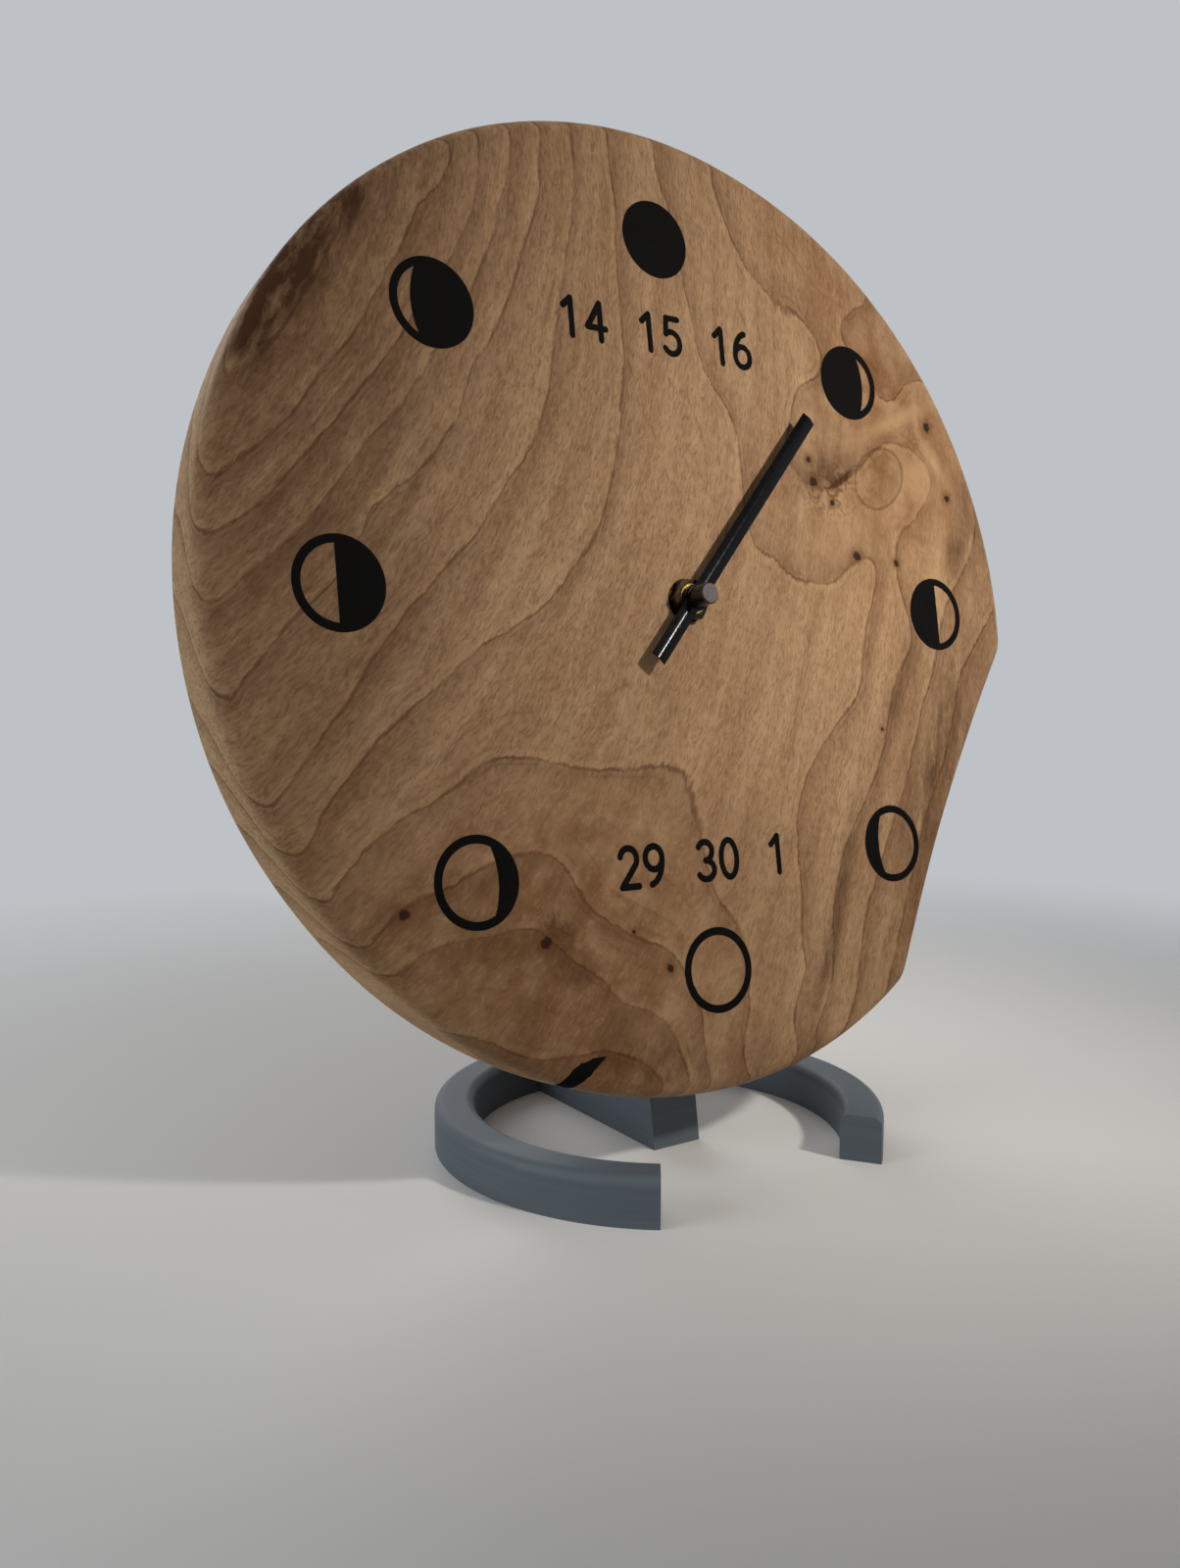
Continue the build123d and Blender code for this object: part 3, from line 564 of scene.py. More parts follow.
def rim_radius(turn):
    """Distance from the shaft to the rim in a clock direction: the circle or, on the flat side, the
    shallow arc that hollows it, whichever is nearer, blended where they meet, with a slight wave inwards."""
    start = math.radians(FLAT_START_DEG)
    end = math.radians(FLAT_END_DEG)
    half_chord = DISC_RADIUS * math.sin((end - start) / 2)
    arc_radius = (half_chord**2 + FLAT_HOLLOW**2) / (2 * FLAT_HOLLOW)
    arc_centre = DISC_RADIUS * math.cos((end - start) / 2) - FLAT_HOLLOW + arc_radius
    off_middle = np.abs((turn - (start + end) / 2 + np.pi) % (2 * np.pi) - np.pi)
    off_middle = np.minimum(off_middle, (end - start))
    hollow = arc_centre * np.cos(off_middle) - np.sqrt(arc_radius**2 - (arc_centre * np.sin(off_middle)) ** 2)
    nearer = -FLAT_BLEND * np.logaddexp(-DISC_RADIUS / FLAT_BLEND, -hollow / FLAT_BLEND)
    wave = sum(share * (np.sin(count * turn + start) - 1) for share, count, start in RIM_WAVES)
    return nearer + RIM_WAVE * wave


def dial_surface():
    """The slab as one closed grid. Columns go round the shaft. Rows follow the section: from the shaft
    hole over the face, round the front edge by a quarter circle, along the side, round the rear edge,
    over the back to the pocket, down its wall, over its floor and back through the hole.
    Returns u, v and w, each rows by columns."""
    turn = np.linspace(0, 2 * np.pi, TURN_STEPS, endpoint=False)
    radius = rim_radius(turn)
    rim = np.stack([radius * np.sin(turn), radius * np.cos(turn)], axis=-1)
    along = np.roll(rim, -1, axis=0) - np.roll(rim, 1, axis=0)
    outward = np.stack([-along[:, 1], along[:, 0]], axis=-1)
    outward /= np.linalg.norm(outward, axis=1, keepdims=True)
    hole = SHAFT_HOLE * np.stack([np.sin(turn), np.cos(turn)], axis=-1)
    squareness = np.abs(np.sin(turn)) ** POCKET_SQUARENESS + np.abs(np.cos(turn)) ** POCKET_SQUARENESS
    pocket_radius = POCKET_HALF / squareness ** (1 / POCKET_SQUARENESS)
    pocket = np.stack([pocket_radius * np.sin(turn), pocket_radius * np.cos(turn)], axis=-1)
    pocket += np.array(POCKET_CENTRE)

    sections = []

    def span(start, end, start_w, end_w, count):
        """Straight rows from one outline to another, without the last."""
        share = np.linspace(0, 1, count, endpoint=False)[:, None]
        flat = start[None] * (1 - share[..., None]) + end[None] * share[..., None]
        level = np.broadcast_to(start_w * (1 - share) + end_w * share, flat.shape[:2])
        sections.append(np.dstack([flat, level]))

    def quarter(size, high, from_face):
        """Rows round an edge by a quarter circle, without the last."""
        sweep = np.linspace(0, np.pi / 2, EDGE_ROWS, endpoint=False)[:, None]
        inset = size * (1 - (np.sin(sweep) if from_face else np.cos(sweep)))
        drop = size * (1 - np.cos(sweep)) if from_face else size * np.sin(sweep)
        flat = rim[None] - inset[..., None] * outward[None]
        sections.append(np.dstack([flat, np.broadcast_to(high - drop, flat.shape[:2])]))

    face_edge = rim - FRONT_ROUND * outward
    back_edge = rim - REAR_ROUND * outward
    span(hole, face_edge, 0, 0, FACE_ROWS)
    quarter(FRONT_ROUND, 0, True)
    span(rim, rim, -FRONT_ROUND, REAR_ROUND - DISC_THICKNESS, SIDE_ROWS)
    quarter(REAR_ROUND, REAR_ROUND - DISC_THICKNESS, False)
    span(back_edge, pocket, -DISC_THICKNESS, -DISC_THICKNESS, BACK_ROWS)
    span(pocket, pocket, -DISC_THICKNESS, -WEB, POCKET_ROWS)
    span(pocket, hole, -WEB, -WEB, FLOOR_ROWS)
    span(hole, hole, -WEB, 0, HOLE_ROWS)
    grid = np.concatenate(sections)
    return grid[..., 0], grid[..., 1], grid[..., 2]


def ring_field(softness, ease):
    """A smooth function of (u, v) that takes each line's ring number along that line: a plane plus one
    rounded cone about every point, with heights solved so that the whole passes close to the numbers.
    More softness rounds the cones off, and more ease lets the whole pass further from the numbers."""
    places = np.array([place for _, line in RING_LINES for place in line], float)
    numbers = np.array([number for number, line in RING_LINES for _ in line], float)
    count = len(places)

    def cones(at):
        """Rounded cones about the points, as seen from other places."""
        gaps = at[:, None, :] - places[None, :, :]
        return -np.sqrt((gaps**2).sum(axis=-1) + softness**2)

    flat = np.column_stack([np.ones(count), places])
    system = np.zeros((count + 3, count + 3))
    system[:count, :count] = cones(places) + ease * np.eye(count)
    system[:count, count:] = flat
    system[count:, :count] = flat.T
    heights = np.linalg.solve(system, np.concatenate([numbers, np.zeros(3)]))

    def field(u, v):
        """Ring numbers at places."""
        at = np.column_stack([u.ravel(), v.ravel()])
        values = cones(at) @ heights[:count] + heights[count] + at @ heights[count + 1 :]
        return values.reshape(u.shape)

    return field


def oval_distance(u, v, oval_u, oval_v, length, width, direction):
    """How far out a place lies from an oval's centre: one on the oval itself, two at twice its size."""
    cosine = math.cos(math.radians(direction))
    sine = math.sin(math.radians(direction))
    along = ((u - oval_u) * cosine + (v - oval_v) * sine) / length
    across = ((v - oval_v) * cosine - (u - oval_u) * sine) / width
    return np.hypot(along, across)


def soft_spots(u, v, spots):
    """A sum of bell shapes, each falling off with the distance from its own oval."""
    total = np.zeros_like(u)
    for spot_u, spot_v, length, width, direction, amount in spots:
        total += amount * np.exp(-(oval_distance(u, v, spot_u, spot_v, length, width, direction) ** 2))
    return total


def fibre_place(u, v):
    """Distances across and along the fibres. Across is a plane that leans with them at the shaft, plus
    second-degree terms that turn them upright at the top and lay them flatter at the left."""
    lean = math.radians(FIBRE_LEAN_DEG)
    bend = FIBRE_BEND_RIGHT * u**2 + FIBRE_BEND_CROSS * u * v + FIBRE_BEND_TOP * np.maximum(v, 0) ** 2
    return u * math.cos(lean) - v * math.sin(lean) + bend, u * math.sin(lean) + v * math.cos(lean)


def dial_wood():
    """The wooden slab. Its vertices hold the ring number, with its width in millimetres as the inverse of
    its slope, the soft spots, the distance from the burl's ring, how far round the side they lie, and
    their distances across and along the fibres. Deeper in, the rings lean and grow calmer."""
    u, v, w = dial_surface()
    rows, columns = u.shape
    piece = mesh_object("dial_wood", on_dial(u, v, w), [grid_faces(rows, columns, True)])
    depth = RING_DRIFT_DEPTH * np.tanh(w / RING_DRIFT_DEPTH)
    deep_u = u + RING_DRIFT[0] * depth
    deep_v = v + RING_DRIFT[1] * depth
    pull = np.minimum(1.0, RING_LIMIT / np.maximum(np.hypot(deep_u, deep_v), 1.0))
    deep_u = deep_u * pull
    deep_v = deep_v * pull
    traced = ring_field(RING_SOFTNESS, RING_EASE)
    calm = ring_field(CALM_SOFTNESS, CALM_EASE)
    behind = np.clip((-w - FRONT_ROUND) / (DISC_THICKNESS - FRONT_ROUND), 0, 1)

    def field(at_u, at_v):
        """The traced rings on the face, passing over to calmer ones on the back."""
        return traced(at_u, at_v) * (1 - behind) + calm(at_u, at_v) * behind

    rings = field(deep_u, deep_v)
    rise_u = field(deep_u + SLOPE_STEP, deep_v) - rings
    rise_v = field(deep_u, deep_v + SLOPE_STEP) - rings
    slope = np.hypot(rise_u, rise_v) / SLOPE_STEP
    front = np.clip(1 + w / FRONT_ROUND, 0, 1)
    give_attribute(piece, "rings", rings)
    give_attribute(piece, "ring_width", 1 / np.maximum(slope, RING_FLATTEST))
    shallow = np.clip(1 + w / DARK_DEPTH, 0, 1)
    # Dark spots in the wood and painted shade over the left and lower face, fading into the slab
    give_attribute(piece, "dark_and_shade", soft_spots(u, v, DARK_AND_SHADE_SPOTS) * shallow)
    give_attribute(piece, "pale", soft_spots(u, v, PALE_SPOTS) * front)
    give_attribute(piece, "burl", soft_spots(u, v, BURL_SPOTS))
    give_attribute(piece, "curls", soft_spots(u, v, CURL_SPOTS) * front)
    off_oval = (oval_distance(u, v, *BURL_RING) - 1) * BURL_RING[3]
    give_attribute(piece, "off_oval", off_oval + BURL_RING_AWAY * (1 - front))
    give_attribute(piece, "warm", soft_spots(u, v, WARM_SPOTS))
    rear = np.clip((DISC_THICKNESS + w) / REAR_ROUND, 0, 1)
    give_attribute(piece, "side", (1 - front) * rear)
    across, along = fibre_place(u, v)
    give_attribute(piece, "across", across)
    give_attribute(piece, "along", along)
    return piece


def through_three(points, share):
    """A curve through three points, as a second-degree polynomial of the share from 0 to 1."""
    first, middle, last = (np.array(point) for point in points)
    share = share[:, None]
    weights = [2 * (share - 0.5) * (share - 1), 4 * share * (1 - share), 2 * share * (share - 0.5)]
    return weights[0] * first + weights[1] * middle + weights[2] * last


def on_front(u, v, rise):
    """Places over the slab's front by a rise along its normal: straight out of the flat face, and out from
    the centre of the quarter circle near the rim. Returns u, v and w."""
    reach = np.hypot(u, v)
    inset = np.clip(rim_radius(np.arctan2(u, v)) - reach, 0, FRONT_ROUND)
    outward = (FRONT_ROUND - inset) / FRONT_ROUND
    upward = np.sqrt(1 - outward**2)
    stretch = 1 + rise * outward / reach
    return u * stretch, v * stretch, FRONT_ROUND * (upward - 1) + rise * upward


def split_fill():
    """The black fill: rows run from the tip to the rim, and each row is a flat oval between the split's
    two ragged edges, laid on the slab's surface and let into it below."""
    share = np.linspace(0, 1, FILL_STEPS)
    ragged = sum(size * np.sin(count * share + start) for size, count, start in FILL_RAGS)
    upper = through_three(FILL_UPPER, share)
    lower = through_three(FILL_LOWER, share)
    upper[:, 1] += FILL_RAGGED * ragged * np.sin(np.pi * share)
    lower[:, 1] += FILL_RAGGED * np.roll(ragged, FILL_LAG) * np.sin(np.pi * share)
    around = np.linspace(0, 2 * np.pi, FILL_SIDES, endpoint=False)
    middle = (upper + lower)[:, None, :] / 2
    half = (upper - lower)[:, None, :] / 2
    places = middle + half * np.cos(around)[None, :, None]
    rise = np.where(np.sin(around) > 0, FILL_PROUD, FILL_DEPTH) * np.sin(around)
    taper = np.minimum(1, share / FILL_TAPER)[:, None]
    u, v, w = on_front(places[..., 0], places[..., 1], rise[None, :] * taper)
    grid = on_dial(u, v, w)
    end = np.broadcast_to(grid[-1].mean(axis=0), (1,) + grid.shape[1:])
    return mesh_object("split_fill_black", *closed_ends(np.concatenate([grid, end])[:, ::-1]))


def stroke_path(stroke, share):
    """A stroke's middle line in its cell: a straight line or part of an ellipse, by share from 0 to 1."""
    if stroke[0] == "line":
        start, end = (np.array(point) for point in stroke[1:])
        return start + share[:, None] * (end - start)
    _, centre, radii, from_deg, to_deg = stroke
    angle = np.radians(from_deg + share * (to_deg - from_deg))
    return np.array(centre) + np.stack([radii[0] * np.cos(angle), radii[1] * np.sin(angle)], axis=-1)


def bead(line, loop, half_width, proud, depth, level=0.0, facing=1.0):
    """A flat rounded bead along a line of (u, v) places, as points and blocks of faces. A loop joins up.
    Any other line runs on past both ends by the half width, while the width falls to nothing as a half
    circle. Across, the bead is a flat oval that stands proud of a level, on the face or facing back."""
    steps = len(line)
    heading = np.roll(line, -1, axis=0) - np.roll(line, 1, axis=0) if loop else np.gradient(line, axis=0)
    heading /= np.linalg.norm(heading, axis=1, keepdims=True)
    share = np.ones(steps)
    if not loop:
        cap = np.sin(np.linspace(0, np.pi / 2, CAP_STEPS))[:-1]
        reach = half_width * np.sqrt(1 - cap**2)
        before = line[0] - reach[:, None] * heading[0]
        after = line[-1] + reach[::-1, None] * heading[-1]
        line = np.concatenate([before, line, after])
        at_ends = [np.repeat(heading[end : end + 1], len(cap), 0) for end in (0, steps - 1)]
        heading = np.concatenate([at_ends[0], heading, at_ends[1]])
        share = np.concatenate([cap, share, cap[::-1]])
    around = np.linspace(0, 2 * np.pi, STROKE_SIDES, endpoint=False)
    side = facing * half_width * np.stack([-heading[:, 1], heading[:, 0]], axis=-1)
    flat = line[:, None, :] + (share[:, None] * np.cos(around))[..., None] * side[:, None, :]
    rise = facing * np.where(np.sin(around) > 0, proud, depth) * np.sin(around)
    grid = on_dial(flat[..., 0], flat[..., 1], level + share[:, None] * rise[None, :])
    if loop:
        return grid.reshape(-1, 3), [grid_faces(*grid.shape[:2], True)]
    return closed_ends(grid)


def gathered(surfaces):
    """Several closed surfaces as one: their points in turn, and each one's faces moved on past the points
    of those before it."""
    starts = np.cumsum([0] + [len(points) for points, _ in surfaces])
    blocks = [block + start for (_, faces), start in zip(surfaces, starts) for block in faces]
    return np.concatenate([points for points, _ in surfaces]), blocks


def numerals(name, words, middle_v):
    """A row of numbers centred on the dial's upright, each digit made of its strokes."""
    places = []
    pen = 0.0
    for sign in words:
        if sign == " ":
            pen += NUMERAL_SPACE * NUMERAL_HEIGHT
            continue
        places.append((sign, pen))
        pen += NUMERAL_ADVANCE * NUMERAL_HEIGHT
    surfaces = []
    for sign, along in places:
        corner = np.array((along - pen / 2, middle_v - NUMERAL_HEIGHT / 2))
        for stroke in DIGITS[sign]:
            loop = stroke[0] == "arc" and stroke[-1] - stroke[-2] == 360
            share = np.linspace(0, 1, STROKE_STEPS, endpoint=not loop)
            line = corner + stroke_path(stroke, share) * NUMERAL_HEIGHT
            surfaces.append(bead(line, loop, NUMERAL_STROKE, NUMERAL_PROUD, NUMERAL_DEPTH))
    return mesh_object(name, *gathered(surfaces))


def node_reach(name):
    """A node's lowest and highest u, v and w, from its points seen in the dial's frame."""
    mesh = frame["nodes"][name].data
    points = np.empty(len(mesh.vertices) * 3, np.float32)
    mesh.vertices.foreach_get("co", points)
    places = (points.reshape(-1, 3) - FACE_CENTRE) @ np.stack([FACE_RIGHT, FACE_UP, FACE_OUT]).T / MM
    return places.min(axis=0), places.max(axis=0)


def cover_relief():
    """Raised lines moulded on the movement's cover: a frame inside its edge as a squared oval, a circle
    round the knob, and a plus and a minus sign over the battery's ends."""
    cover_low, cover_high = node_reach("movement_cover")
    cell_low, cell_high = node_reach("battery")
    knob_low, knob_high = node_reach("setting_knob")
    turn = np.linspace(0, 2 * np.pi, RELIEF_STEPS, endpoint=False)
    around = np.stack([np.cos(turn), np.sin(turn)], axis=-1)
    squareness = (np.abs(around) ** RELIEF_SQUARENESS).sum(axis=1, keepdims=True)
    half = (cover_high - cover_low)[:2] / 2 - RELIEF_INSET
    outline = (cover_low + cover_high)[:2] / 2 + half * around / squareness ** (1 / RELIEF_SQUARENESS)
    circle = (knob_low + knob_high)[:2] / 2 + RELIEF_CIRCLE * around
    sign_v = cover_low[1] + SIGN_RISE
    plus_u = cell_high[0] - SIGN_INSET
    minus_u = cell_low[0] + SIGN_INSET
    share = np.linspace(-SIGN_ARM, SIGN_ARM, STROKE_STEPS)
    level = np.full(STROKE_STEPS, sign_v)
    lines = [
        (outline, True),
        (circle, True),
        (np.stack([plus_u + share, level], axis=-1), False),
        (np.stack([np.full(STROKE_STEPS, plus_u), level + share], axis=-1), False),
        (np.stack([minus_u + share, level], axis=-1), False),
    ]
    rear = cover_low[2]
    surfaces = [bead(line, loop, RELIEF_HALF, RELIEF_PROUD, RELIEF_DEPTH, rear, -1.0) for line, loop in lines]
    return mesh_object("cover_relief", *gathered(surfaces))


def add_node(tree, kind, **values):
    """A new shader node, with each value set on the property or the input of that name."""
    made = tree.nodes.new(kind)
    for name, value in values.items():
        if name in made.bl_rna.properties:
            setattr(made, name, value)
        else:
            made.inputs[name.replace("_", " ")].default_value = value
    return made


def feed(tree, socket, source):
    """Links a source socket to an input, or sets the input to a number or colour."""
    if isinstance(source, bpy.types.NodeSocket):
        tree.links.new(source, socket)
    else:
        socket.default_value = source


def calc(tree, operation, first, second=0.0, clamp=False):
    """A sum, product or other operation on two numbers, held between 0 and 1 if clamp is set."""
    made = add_node(tree, "ShaderNodeMath", operation=operation, use_clamp=clamp)
    feed(tree, made.inputs[0], first)
    feed(tree, made.inputs[1], second)
    return made.outputs[0]


def times(tree, first, second, clamp=False):
    """A product of two numbers."""
    return calc(tree, "MULTIPLY", first, second, clamp)


def fade(tree, value, start, end, low=0.0, high=1.0):
    """A smooth step of a number: low before start, high after end."""
    made = add_node(tree, "ShaderNodeMapRange", interpolation_type="SMOOTHSTEP")
    feed(tree, made.inputs["Value"], value)
    for name, number in (("From Min", start), ("From Max", end), ("To Min", low), ("To Max", high)):
        made.inputs[name].default_value = number
    return made.outputs["Result"]


def blend_colours(tree, share, first, second):
    """A mix of two colours."""
    made = add_node(tree, "ShaderNodeMix", data_type="RGBA")
    feed(tree, made.inputs["Factor"], share)
    feed(tree, made.inputs["A"], first)
    feed(tree, made.inputs["B"], second)
    return made.outputs["Result"]


def new_finish(name, **settings):
    """An empty material with its shader, whose constant inputs are set straight away."""
    finish = bpy.data.materials.new(name)
    finish.use_nodes = True
    tree = finish.node_tree
    shader = tree.nodes["Principled BSDF"]
    for key, value in settings.items():
        shader.inputs[key.replace("_", " ")].default_value = value
    return finish, tree, shader


def object_place(tree, turn=(0.0, 0.0, 0.0)):
    """Object coordinates in millimetres, turned."""
    place = add_node(tree, "ShaderNodeTexCoord").outputs["Object"]
    turned = add_node(tree, "ShaderNodeMapping", vector_type="POINT")
    turned.inputs["Rotation"].default_value = turn
    turned.inputs["Scale"].default_value = (1 / MM,) * 3
    tree.links.new(place, turned.inputs["Vector"])
    return turned.outputs["Vector"]


def axes_of(tree, place):
    """A place's distances along its axes X, Y and Z."""
    made = add_node(tree, "ShaderNodeSeparateXYZ")
    tree.links.new(place, made.inputs[0])
    return made.outputs


def cloud(tree, place, size, layers, rough=0.55):
    """A noise value at a place, whose features have one size, or one along each axis."""
    size = size if isinstance(size, tuple) else (size,) * 3
    counted = add_node(tree, "ShaderNodeVectorMath", operation="MULTIPLY")
    tree.links.new(place, counted.inputs[0])
    counted.inputs[1].default_value = tuple(1 / length for length in size)
    made = add_node(tree, "ShaderNodeTexNoise", Scale=1.0, Detail=layers, Roughness=rough)
    tree.links.new(counted.outputs[0], made.inputs["Vector"])
    return made.outputs["Fac"]


def surface(tree, shader, colour, roughness, height, depth_mm, strength):
    """Puts a colour, a roughness and a relief of some depth and strength on a shader."""
    tree.links.new(colour, shader.inputs["Base Color"])
    tree.links.new(roughness, shader.inputs["Roughness"])
    relief = add_node(tree, "ShaderNodeBump", Strength=strength, Distance=depth_mm * MM)
    tree.links.new(height, relief.inputs["Height"])
    tree.links.new(relief.outputs["Normal"], shader.inputs["Normal"])


def knot_distance(tree, place):
    """How far a place lies from the nearest small knot, counted in that knot's own radius."""
    distances = []
    for knot_u, knot_v, radius in KNOTS:
        gap = add_node(tree, "ShaderNodeVectorMath", operation="DISTANCE")
        tree.links.new(place, gap.inputs[0])
        gap.inputs[1].default_value = (knot_u, knot_v + FACE_RISE, FACE_LEVEL)
        distances.append(calc(tree, "DIVIDE", gap.outputs["Value"], radius))
    return reduce(lambda nearest, away: calc(tree, "MINIMUM", nearest, away), distances)


def oiled_wood():
    """Plain-sawn oiled wood, tinted layer upon layer. Over pale and middling streaks come the warm spots,
    the side's paler tone, partly its own and partly painted light, fibres as fine as hair and pale flecks.
    Ring lines lie where the stored ring number is whole, with pale early wood before them, late wood past
    them, and fine lines at its thirds. Then come pores, ripples, the burl's swirls, clouds, curls and ring,
    the pale spots, the dark spots with painted shade over the left and lower face among them, and the knots."""
    finish, tree, shader = new_finish("oiled_wood", Specular_IOR_Level=WOOD_GLOSS)
    place = object_place(tree, FACE_TURN)

    def stored(name):
        """A number that the slab's vertices hold."""
        return add_node(tree, "ShaderNodeAttribute", attribute_name=name).outputs["Fac"]

    def noise(name, at):
        """One of the wood's noises at a place."""
        return cloud(tree, at, *WOOD_NOISE[name])

    def step(name, value):
        """One of the wood's steps of a number."""
        return fade(tree, value, *WOOD_STEPS[name])

    def moved(value, *shifts):
        """A number moved to both sides by noises, each with its own reach."""
        for source, reach in shifts:
            value = calc(tree, "ADD", value, times(tree, calc(tree, "SUBTRACT", source, 0.5), reach))
        return value

    across = moved(stored("across"), (noise("sway", place), SWAY_REACH))
    fibre_axes = add_node(tree, "ShaderNodeCombineXYZ")
    for axis, source in zip("XYZ", (across, stored("along"), axes_of(tree, place)["Z"])):
        tree.links.new(source, fibre_axes.inputs[axis])
    grain = fibre_axes.outputs[0]

    quiver = noise("quiver", grain)
    drift = noise("drift", grain)
    comb = noise("comb", grain)
    shift = moved(0.0, (drift, DRIFT_REACH), (quiver, QUIVER_REACH), (comb, COMB_REACH))
    width = stored("ring_width")
    rings = calc(tree, "ADD", stored("rings"), calc(tree, "DIVIDE", shift, width))
    patchy = noise("patchy", grain)
    broken = noise("broken", place)
    narrow = step("narrow", noise("narrow", place))

    def off_line(number):
        """Millimetres from the nearest whole ring number."""
        return times(tree, calc(tree, "SUBTRACT", number, calc(tree, "ROUND", number)), width)

    past = off_line(rings)

    def strand(offset, reach):
        """A thin line that many millimetres past the ring, here wider and there narrower."""
        gap = calc(tree, "ABSOLUTE", calc(tree, "SUBTRACT", past, offset))
        return fade(tree, times(tree, gap, narrow), STRAND_CORE, reach, 1.0, 0.0)

    line = strand(*RING_STRAND)
    second = times(tree, strand(*SECOND_STRAND), step("second", patchy))
    third = times(tree, strand(*THIRD_STRAND), step("third", broken))
    early = times(tree, step("early_rise", past), step("early_fall", past))
    late = times(tree, step("late_rise", past), step("late_fall", past))
    fine = calc(tree, "ABSOLUTE", off_line(times(tree, rings, FINE_RINGS)))
    fine = times(tree, step("fine", fine), step("fine_patch", patchy))
    fine = calc(tree, "ADD", fine, calc(tree, "ADD", second, third))

    burl = calc(tree, "ADD", stored("burl"), 0.0, True)
    straight = calc(tree, "SUBTRACT", 1.0, times(tree, burl, BURL_CALM))
    fibre = noise("fibre", grain)
    pore = noise("pore", grain)
    pores = times(tree, step("pore", pore), straight)
    blotch = noise("blotch", place)
    swirl = calc(tree, "SINE", times(tree, noise("swirl", place), SWIRL_TURNS))
    swirl = times(tree, step("swirl", swirl), step("swirl_patch", patchy))
    loops = calc(tree, "SINE", times(tree, noise("loops", place), SWIRL_TURNS))
    curls = times(tree, stored("curls"), step("curl_patch", broken), True)
    off_oval = moved(stored("off_oval"), (quiver, OVAL_QUIVER))
    knot = moved(knot_distance(tree, place), (noise("ragged", place), KNOT_RAGGED))

    tints = (
        (times(tree, stored("warm"), step("warm", blotch), True), WOOD_WARM),
        # the side painted paler: partly its own tone and partly painted light on it
        (times(tree, stored("side"), SIDE_TONE_AND_LIGHT, True), WOOD_SIDE_AND_LIGHT),
        (times(tree, step("hair", fibre), straight), WOOD_LINE),
        (step("fleck", pore), WOOD_LIGHT),
        (early, WOOD_LIGHT),
        (late, WOOD_LINE),
        (times(tree, fine, FINE_TINT), WOOD_LINE),
        (times(tree, line, step("strong", broken)), WOOD_LINE),
        (times(tree, pores, PORE_TINT), WOOD_LINE),
        (step("ripple", noise("ripple", grain)), WOOD_LINE),
        (times(tree, times(tree, swirl, burl), SWIRL_TINT), WOOD_LINE),
        (times(tree, burl, step("cloudy", blotch)), WOOD_HALO),
        (times(tree, curls, step("dark_curl", loops)), WOOD_LINE),
        (times(tree, curls, step("pale_curl", loops)), WOOD_LIGHT),
        (times(tree, stored("pale"), step("pale", blotch), True), WOOD_LIGHT),
        (step("in_oval", off_oval), WOOD_HALO),
        (step("oval_line", calc(tree, "ABSOLUTE", off_oval)), WOOD_LINE),
        # dark spots in the wood, and painted shade over the left and lower face
        (times(tree, stored("dark_and_shade"), step("dark_and_shade", noise("mottle", grain)), True), WOOD_DARK_AND_SHADE),
        (step("halo", knot), WOOD_HALO),
        (step("knot", knot), WOOD_KNOT),
    )
    colour = blend_colours(tree, step("streak", noise("streak", grain)), WOOD_PALE, WOOD_MID)
    for share, tone in tints:
        colour = blend_colours(tree, share, colour, tone)
    dents = calc(tree, "ADD", times(tree, pores, PORE_HEIGHT), times(tree, line, LINE_HEIGHT))
    height = calc(tree, "ADD", dents, times(tree, fibre, FIBRE_HEIGHT))
    surface(tree, shader, colour, step("roughness", fibre), height, *WOOD_RELIEF)
    return finish


def mottled(name, tone, second, size_mm, roughness, relief_mm, gloss=PLAIN_GLOSS):
    """A moulded or painted finish: two near tones in soft clouds, a fine surface grain and uneven gloss."""
    finish, tree, shader = new_finish(name, Specular_IOR_Level=gloss)
    place = object_place(tree)
    patches = cloud(tree, place, PATCH_TIMES * size_mm, FINER_LAYERS)
    grain = cloud(tree, place, size_mm, FINER_LAYERS)
    blend = calc(tree, "ADD", times(tree, patches, PATCH_SHARE), times(tree, grain, GRAIN_SHARE))
    colour = blend_colours(tree, fade(tree, blend, *TONE_SPAN), linear(*tone), linear(*second))
    uneven = fade(tree, patches, *GLOSS_SPAN, *roughness)
    surface(tree, shader, colour, uneven, grain, relief_mm, GRAIN_STRENGTH)
    return finish


def hand_lacquer():
    """Black lacquer on the folded hand. The fold is rounded off by relief: over the distance from the
    hand's middle line, the crown falls away as a rounded cone and takes the flat sides' own fall back."""
    finish, tree, shader = new_finish("hand_lacquer", Specular_IOR_Level=HAND_GLOSS)
    place = object_place(tree, FACE_TURN)
    axes = axes_of(tree, place)
    lean = math.radians(HAND_DEG)
    rise = calc(tree, "SUBTRACT", axes["Y"], FACE_RISE)
    right = times(tree, axes["X"], math.cos(lean))
    off = calc(tree, "SUBTRACT", right, times(tree, rise, math.sin(lean)))
    rounded = calc(tree, "SQRT", calc(tree, "ADD", times(tree, off, off), FOLD_RADIUS**2))
    flat_fall = times(tree, calc(tree, "ABSOLUTE", off), HAND_FALL)
    crown = calc(tree, "ADD", times(tree, rounded, -FOLD_FALL), flat_fall)
    haze = cloud(tree, place, *HAND_NOISE)
    colour = blend_colours(tree, fade(tree, haze, *TONE_SPAN), *HAND_TONES)
    surface(tree, shader, colour, fade(tree, haze, *GLOSS_SPAN, *HAND_ROUGHNESS), crown, *HAND_RELIEF)
    return finish


